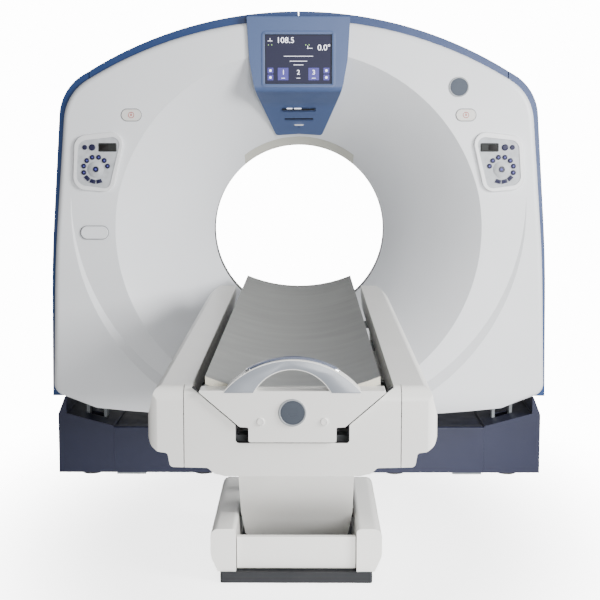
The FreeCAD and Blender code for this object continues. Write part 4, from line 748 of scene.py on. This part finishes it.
class SCANNER_OT_display(bpy.types.Operator):
    """Figures and touch tiles on the display, its black seal of painted gap shade, and the fittings of the
    console's slots
    """

    bl_idname = "scanner.display"
    bl_label = "Display"

    def figures(self, text, height, at, face):
        """Raised figures; at is their left end on the baseline."""
        nothing_selected()
        bpy.ops.object.text_add(location=(0, 0, 0))
        writing = bpy.context.object
        writing.data.body = text
        # The font's figures are 0.72 of its size tall.
        writing.data.size = height * 1.38
        writing.data.extrude = 0.15 * MM
        bpy.ops.object.convert(target="MESH")
        piece = bpy.context.object
        piece.location = (at[0], face - 0.35 * MM, at[1])
        piece.rotation_euler = (math.pi / 2, 0, 0)
        bpy.ops.object.transform_apply(location=True, rotation=True, scale=True)
        return piece

    def tile(self, width, height, at, face, corner=1.6):
        """Raised tile on the glass, sizes in millimetres, centred on the given place."""
        front_block(width * MM, TILE, height * MM, (at[0], face, at[1]))
        round_corners(corner * MM, 3)
        return out_of_edit()

    def execute(self, context):
        low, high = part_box("display_screen")
        face = low.y - 0.05 * MM
        on_tile = face - TILE - 0.01 * MM
        height = context.scene.scanner_sizes.figure_height

        def spot(u, v):
            """A place on the glass, as shares of its width and height."""
            return low.x + u * (high.x - low.x), low.z + v * (high.z - low.z)

        white = [self.figures("108.5", height * 0.74, spot(0.17, 0.83), face),
                 self.figures("0.0°", height * 0.74, spot(0.785, 0.68), face)]
        white += [self.tile(width, 1.6, spot(0.5, v), face, 0.6)
                  for width, v in ((110, 0.56), (65, 0.46), (37.5, 0.385))]
        white += [self.tile(14, 1.6, spot(u, 0.115), on_tile, 0.5) for u in (0.27, 0.5, 0.73)]
        white += [self.tile(width, tall, spot(u, v), face, 0.5) for width, tall, u, v in
                  ((18, 1.8, 0.075, 0.87), (1.8, 10, 0.075, 0.9), (20, 1.8, 0.67, 0.72),
                   (1.8, 9, 0.64, 0.75))]
        corners = [(0.08, 0.27), (0.08, 0.13), (0.92, 0.27), (0.92, 0.13)]
        white += [self.tile(8, 8, spot(u, v), on_tile, 2.5) for u, v in corners]
        white += [self.figures(number, height * 0.6, spot(u, 0.19), face - 0.3 * MM)
                  for number, u in (("1", 0.25), ("2", 0.475), ("3", 0.705))]
        join_all(white)
        complete("display_figures", "gantry", ["figure_white"])

        tiles = [self.tile(40, 46, spot(u, 0.2), face) for u in (0.27, 0.73)]
        join_all(tiles + [self.tile(22, 21, spot(u, v), face) for u, v in corners])
        complete("display_tiles", "gantry", ["tile_violet"])

        join_all([self.tile(3.5, 3.5, spot(u, 0.79), face, 1.2) for u in (0.05, 0.1, 0.61, 0.66)])
        complete("display_marks", "gantry", ["tile_green"])

        self.black_gap_shade(low, high)
        self.bezel(low, high)
        self.slot_fittings()
        return {"FINISHED"}

    def black_gap_shade(self, low, high):
        """Dark seal in the recess, round the glass; its black is painted shade of the gap there."""
        centre, lap = (low + high) / 2, 0.2 * MM
        front_block(high.x - low.x + 2 * lap, 3 * MM, high.z - low.z + 2 * lap,
                    (centre.x, low.y + 2.2 * MM, centre.z))
        open_frame(3.2 * MM)
        complete("display_seal_painted_gap_shade", "gantry", ["black_gap_shade"])

    def bezel(self, low, high):
        """Soft raised frame of the console, round the display."""
        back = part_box("display_console")[0].y + 0.2 * MM
        centre, half = (low + high) / 2, (high - low) / 2
        margin, thick, near = 14 * MM, 1.6 * MM, 4 * MM
        front_block(2 * (half.x + margin), thick, 2 * (half.z + margin), (centre.x, back, centre.z))
        round_corners(17 * MM, 6)
        open_frame(margin - 1.5 * MM)
        pick("EDGE", lambda c, along: abs(c.y - back + thick) < FLUSH and abs(along.y) < 0.1
             and abs(c.x - centre.x) < half.x + near and abs(c.z - centre.z) < half.z + near)
        bpy.ops.mesh.extrude_region_move(TRANSFORM_OT_translate={"value": (0, 3 * MM, 0)})
        soften_front(1.0 * MM)
        complete("display_bezel", "gantry", ["console_blue"])

    def slot_fittings(self):
        """Inlay plates and lamps in the console's two slots, and the small plate below them. The black
        inlays and the pin hole's black plate are painted shade of the slots and the hole.
        """
        # The slots lie in the console's sloping underside: its upper edge, how far it runs back, its drop.
        edge_y, edge_z, run, drop = -0.330, 1.522, 0.202, 0.119
        lean = math.atan2(drop, run)
        out = Vector((0, -math.sin(lean), -math.cos(lean)))
        for name, width, height, depth, x, z, lift, finish in (
                ("slot_inlay_upper_painted_shade", 130, 26, 2, 0, 1504, -3.5, "black_gap_shade"),
                ("slot_inlay_lower_painted_shade", 112, 14, 2, 0, 1467, -3.5, "black_gap_shade"),
                ("slot_lamp_left", 22, 5, 2, -36, 1506.5, -1, "figure_white"),
                ("slot_lamp_right", 28, 5, 2, -4, 1506.5, -1, "figure_white"),
                ("console_plate", 36, 18, 1.2, 0, 1447, 0.2, "stop_cap"),
                ("console_pin_hole_painted_shade", 5, 5, 1.2, 0, 1437, 0.1, "black_gap_shade")):
            front_block(width * MM, depth * MM, height * MM, (0, 0, 0))
            round_corners(min(width, height) * 0.3 * MM, 3)
            soften_front(depth * 0.3 * MM, 2)
            piece = out_of_edit()
            place = Vector((x * MM, edge_y + (edge_z - z * MM) / drop * run, z * MM)) + out * lift * MM
            piece.data.transform(Matrix.Translation(place) @ Matrix.Rotation(lean - math.pi / 2, 4, "X"))
            complete(name, "gantry", [finish])


class SCANNER_OT_cradle_trim(bpy.types.Operator):
    """Foam-core edge of the cradle, pale as a painted highlight, its handle's inlay, and the tips of the
    release bar
    """

    bl_idname = "scanner.cradle_trim"
    bl_label = "Cradle trim"

    def execute(self, context):
        self.foot_edge()
        self.handle_face()
        low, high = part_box("release_bar")
        deep, size = high.y - low.y + 1.0 * MM, 13 * MM
        for side, sign in SIDES.items():
            front_block(size, deep, size, (0, deep / 2, 0))
            round_corners(2.5 * MM)
            soften_front(2 * MM)
            tip = out_of_edit()
            place = Vector((sign * 103.5 * MM, (low.y + high.y) / 2, low.z + size / 2))
            tip.data.transform(Matrix.Translation(place) @ Matrix.Rotation(sign * math.radians(26), 4, "Y"))
            complete("bar_tip_" + side, "release_bar", ["chrome"])
        return {"FINISHED"}

    def foot_edge(self):
        """Thin band over the end of the cradle, which follows its trough; its pale tone is partly a painted
        highlight along the edge.
        """
        low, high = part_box("cradle")
        half, sag, thick, inset = 210 * MM, 42 * MM, 20 * MM, 0.6 * MM
        radius = (half ** 2 + sag ** 2) / (2 * sag)
        nothing_selected()
        bpy.ops.mesh.primitive_grid_add(x_subdivisions=48, y_subdivisions=1, size=1, location=(0, 0, 0))
        bpy.context.object.scale = (2 * half, 1, 1)
        bpy.ops.object.transform_apply(location=True, rotation=True, scale=True)
        for vert in bpy.context.object.data.vertices:
            trough = high.z - sag + radius - math.sqrt(radius ** 2 - vert.co.x ** 2)
            vert.co.z = trough - (inset if vert.co.y > 0 else thick - inset)
            vert.co.y = low.y - 0.1 * MM
        bpy.ops.object.mode_set(mode="EDIT")
        bpy.ops.mesh.select_all(action="SELECT")
        bpy.ops.mesh.extrude_region_move(TRANSFORM_OT_translate={"value": (0, -1.2 * MM, 0)})
        bpy.ops.mesh.select_all(action="SELECT")
        bpy.ops.mesh.normals_make_consistent(inside=False)
        complete("cradle_foot_edge_highlight", "cradle", ["edge"])

    def handle_face(self):
        """Thin silver inlay on the front of the handle's arch, over the grip opening."""
        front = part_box("cradle_end_cap")[0].y
        # The arch and the grip are circles about two centres; the inlay ends where the arch meets the cap.
        front_disc(209.5 * MM, 1.2 * MM, (0, front, 673.2 * MM), 160)
        bpy.ops.mesh.select_all(action="SELECT")
        bpy.ops.mesh.bisect(plane_co=(0, 0, 806 * MM), plane_no=(0, 0, 1), use_fill=True, clear_inner=True)
        face = out_of_edit()
        front_disc(103.7 * MM, 6 * MM, (0, front + 2 * MM, 759.6 * MM), 96)
        cut_away(face, out_of_edit())
        edge = face.modifiers.new("edge", "BEVEL")
        edge.width = 0.4 * MM
        edge.segments = 2
        edge.limit_method = "ANGLE"
        bpy.ops.object.modifier_apply(modifier="edge")
        complete("handle_inlay", "cradle", ["silver"])


class SCANNER_OT_gate_seal(bpy.types.Operator):
    """Black rubber seal round the opening that the cradle's end cap passes through; its black is painted
    shade of the gap there
    """

    bl_idname = "scanner.gate_seal"
    bl_label = "Gate seal"

    def execute(self, context):
        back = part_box("table_fascia")[0].y + 13 * MM
        deep, thick = 9 * MM, 3 * MM
        # Right-hand outline of the opening, from its foot up the slope.
        foot, knee, top = (Vector((x * MM, 0, z * MM)) for x, z in ((135, 683), (135, 727), (238, 816)))
        strips = []
        for start, end in ((knee, top), (foot, knee)):
            along = end - start
            front_block(along.length, deep, thick, (0, back, 0))
            round_corners(0.8 * MM, 2)
            soften_front(0.8 * MM, 2)
            strip = out_of_edit()
            turn = math.atan2(along.z, along.x)
            inward = Vector((-math.sin(turn), 0, math.cos(turn))) * (thick / 2 + 0.1 * MM)
            strip.data.transform(Matrix.Translation((start + end) / 2 + inward)
                                 @ Matrix.Rotation(-turn, 4, "Y"))
            strips.append(strip)
        for strip in list(strips):
            twin = copied(strip, Matrix.Scale(-1, 4, (1, 0, 0)))
            twin.data.flip_normals()
            strips.append(twin)
        front_block(2 * foot.x, deep, 2.2 * MM, (0, back, foot.z + 1.2 * MM))
        round_corners(0.6 * MM, 2)
        soften_front(0.6 * MM, 2)
        join_all(strips + [out_of_edit()])
        complete("gate_gap_shade", "table", ["black_gap_shade"])
        return {"FINISHED"}


class SCANNER_OT_studio(bpy.types.Operator):
    """Pale floor, soft lights and the camera"""

    bl_idname = "scanner.studio"
    bl_label = "Studio"

    def floor(self, glow):
        """Painted floor, which has no edge against the white surround."""
        nothing_selected()
        bpy.ops.mesh.primitive_plane_add(size=60, location=(0, 0, -0.5 * MM))
        floor = bpy.context.object
        floor.name = "studio_floor"
        # Matt paint that glows, as a lit studio floor does, and fades out with distance.
        material, tree, shader = start_material("painted_studio_floor", linear("#EEEEEE"), 0.75,
                                                Emission_Color=linear("#FFFFFF"), Emission_Strength=glow)
        place = add(tree, "ShaderNodeTexCoord").outputs["Object"]
        oval = add(tree, "ShaderNodeMapping", {"Vector": place},
                   {"Location": (0, 0.6, 0), "Scale": (1, 0.62, 1)}).outputs["Vector"]
        reach = add(tree, "ShaderNodeVectorMath", {0: oval}, operation="LENGTH").outputs["Value"]
        fade = add(tree, "ShaderNodeMapRange", {"Value": reach},
                   {"From Min": 0.55, "From Max": 1.7, "To Min": 0.16},
                   interpolation_type="SMOOTHSTEP").outputs["Result"]
        clear = add(tree, "ShaderNodeBsdfTransparent").outputs["BSDF"]
        mix = add(tree, "ShaderNodeMixShader", {0: fade, 1: shader.outputs["BSDF"], 2: clear})
        tree.links.new(mix.outputs["Shader"], tree.nodes["Material Output"].inputs["Surface"])
        floor.data.materials.append(material)

    def lamp(self, name, place, target, size, power):
        """A square or oblong soft light that faces its target."""
        light = bpy.data.lights.new(name, "AREA")
        light.shape = "RECTANGLE"
        light.size, light.size_y = size
        light.energy = power
        lamp = bpy.data.objects.new(name, light)
        bpy.context.scene.collection.objects.link(lamp)
        lamp.location = place
        lamp.rotation_euler = (Vector(target) - Vector(place)).to_track_quat("-Z", "Y").to_euler()

    def surround(self, context, gives, looks):
        """A world that looks bright white, and lights the scanner only softly."""
        world = bpy.data.worlds.new("studio_white")
        context.scene.world = world
        world.use_nodes = True
        tree = world.node_tree
        seen = add(tree, "ShaderNodeLightPath").outputs["Is Camera Ray"]
        strength = add(tree, "ShaderNodeMapRange", {"Value": seen}, {"To Min": gives, "To Max": looks})
        backdrop = tree.nodes["Background"]
        backdrop.inputs["Color"].default_value = linear("#FFFFFF")
        tree.links.new(strength.outputs["Result"], backdrop.inputs["Strength"])

    def execute(self, context):
        studio = context.scene.scanner_studio
        self.floor(studio.floor_glow)
        self.lamp("key_light", (3.1, -3.2, 2.1), (0.2, -0.6, 1.0), (1.6, 1.6), studio.key_power)
        self.lamp("fill_light", (-3.6, -3.8, 1.6), (0, -0.6, 0.8), (2.4, 2.4), studio.fill_power)
        self.lamp("front_light", (1.1, -5.8, 1.1), (0.1, -2.2, 0.45), (1.8, 1.8), studio.front_power)
        self.lamp("top_light", (0.3, -1.2, 4.2), (0, -0.8, 0.6), (3.2, 2.6), studio.top_power)
        self.surround(context, studio.surround_light, studio.surround_look)

        lens = bpy.data.cameras.new("studio_camera")
        lens.lens = 78.54
        lens.sensor_width = 36
        lens.clip_end = 100
        camera = bpy.data.objects.new("studio_camera", lens)
        context.scene.collection.objects.link(camera)
        camera.location = (0.036, -5.465, 1.412)
        camera.rotation_euler = (math.radians(90 - 7.256), 0, math.radians(0.344))
        context.scene.camera = camera
        return {"FINISHED"}


class SCANNER_PT_panel(bpy.types.Panel):
    """The scanner's pieces and studio"""

    bl_idname = "SCANNER_PT_panel"
    bl_label = "CT scanner"
    bl_space_type = "VIEW_3D"
    bl_region_type = "UI"
    bl_category = "CT scanner"

    def draw(self, context):
        column = self.layout.column(align=True)
        for operator in OPERATORS:
            column.operator(operator.bl_idname)
        for group in ("scanner_looks", "scanner_sizes", "scanner_studio"):
            settings = getattr(context.scene, group)
            for name in settings.__annotations__:
                self.layout.prop(settings, name)


OPERATORS = (SCANNER_OT_finishes, SCANNER_OT_badges, SCANNER_OT_access_cap, SCANNER_OT_surrounds,
             SCANNER_OT_stop_marks, SCANNER_OT_keypads, SCANNER_OT_display, SCANNER_OT_cradle_trim,
             SCANNER_OT_gate_seal, SCANNER_OT_studio)
CLASSES = (ScannerLooks, ScannerSizes, ScannerStudio) + OPERATORS + (SCANNER_PT_panel,)


def register():
    for item in CLASSES:
        bpy.utils.register_class(item)
    bpy.types.Scene.scanner_looks = PointerProperty(type=ScannerLooks)
    bpy.types.Scene.scanner_sizes = PointerProperty(type=ScannerSizes)
    bpy.types.Scene.scanner_studio = PointerProperty(type=ScannerStudio)


def unregister():
    del bpy.types.Scene.scanner_studio
    del bpy.types.Scene.scanner_sizes
    del bpy.types.Scene.scanner_looks
    for item in reversed(CLASSES):
        bpy.utils.unregister_class(item)


def main():
    register()
    for operator in OPERATORS:
        group, name = operator.bl_idname.split(".")
        getattr(getattr(bpy.ops, group), name)()


if __name__ == "__main__":
    main()
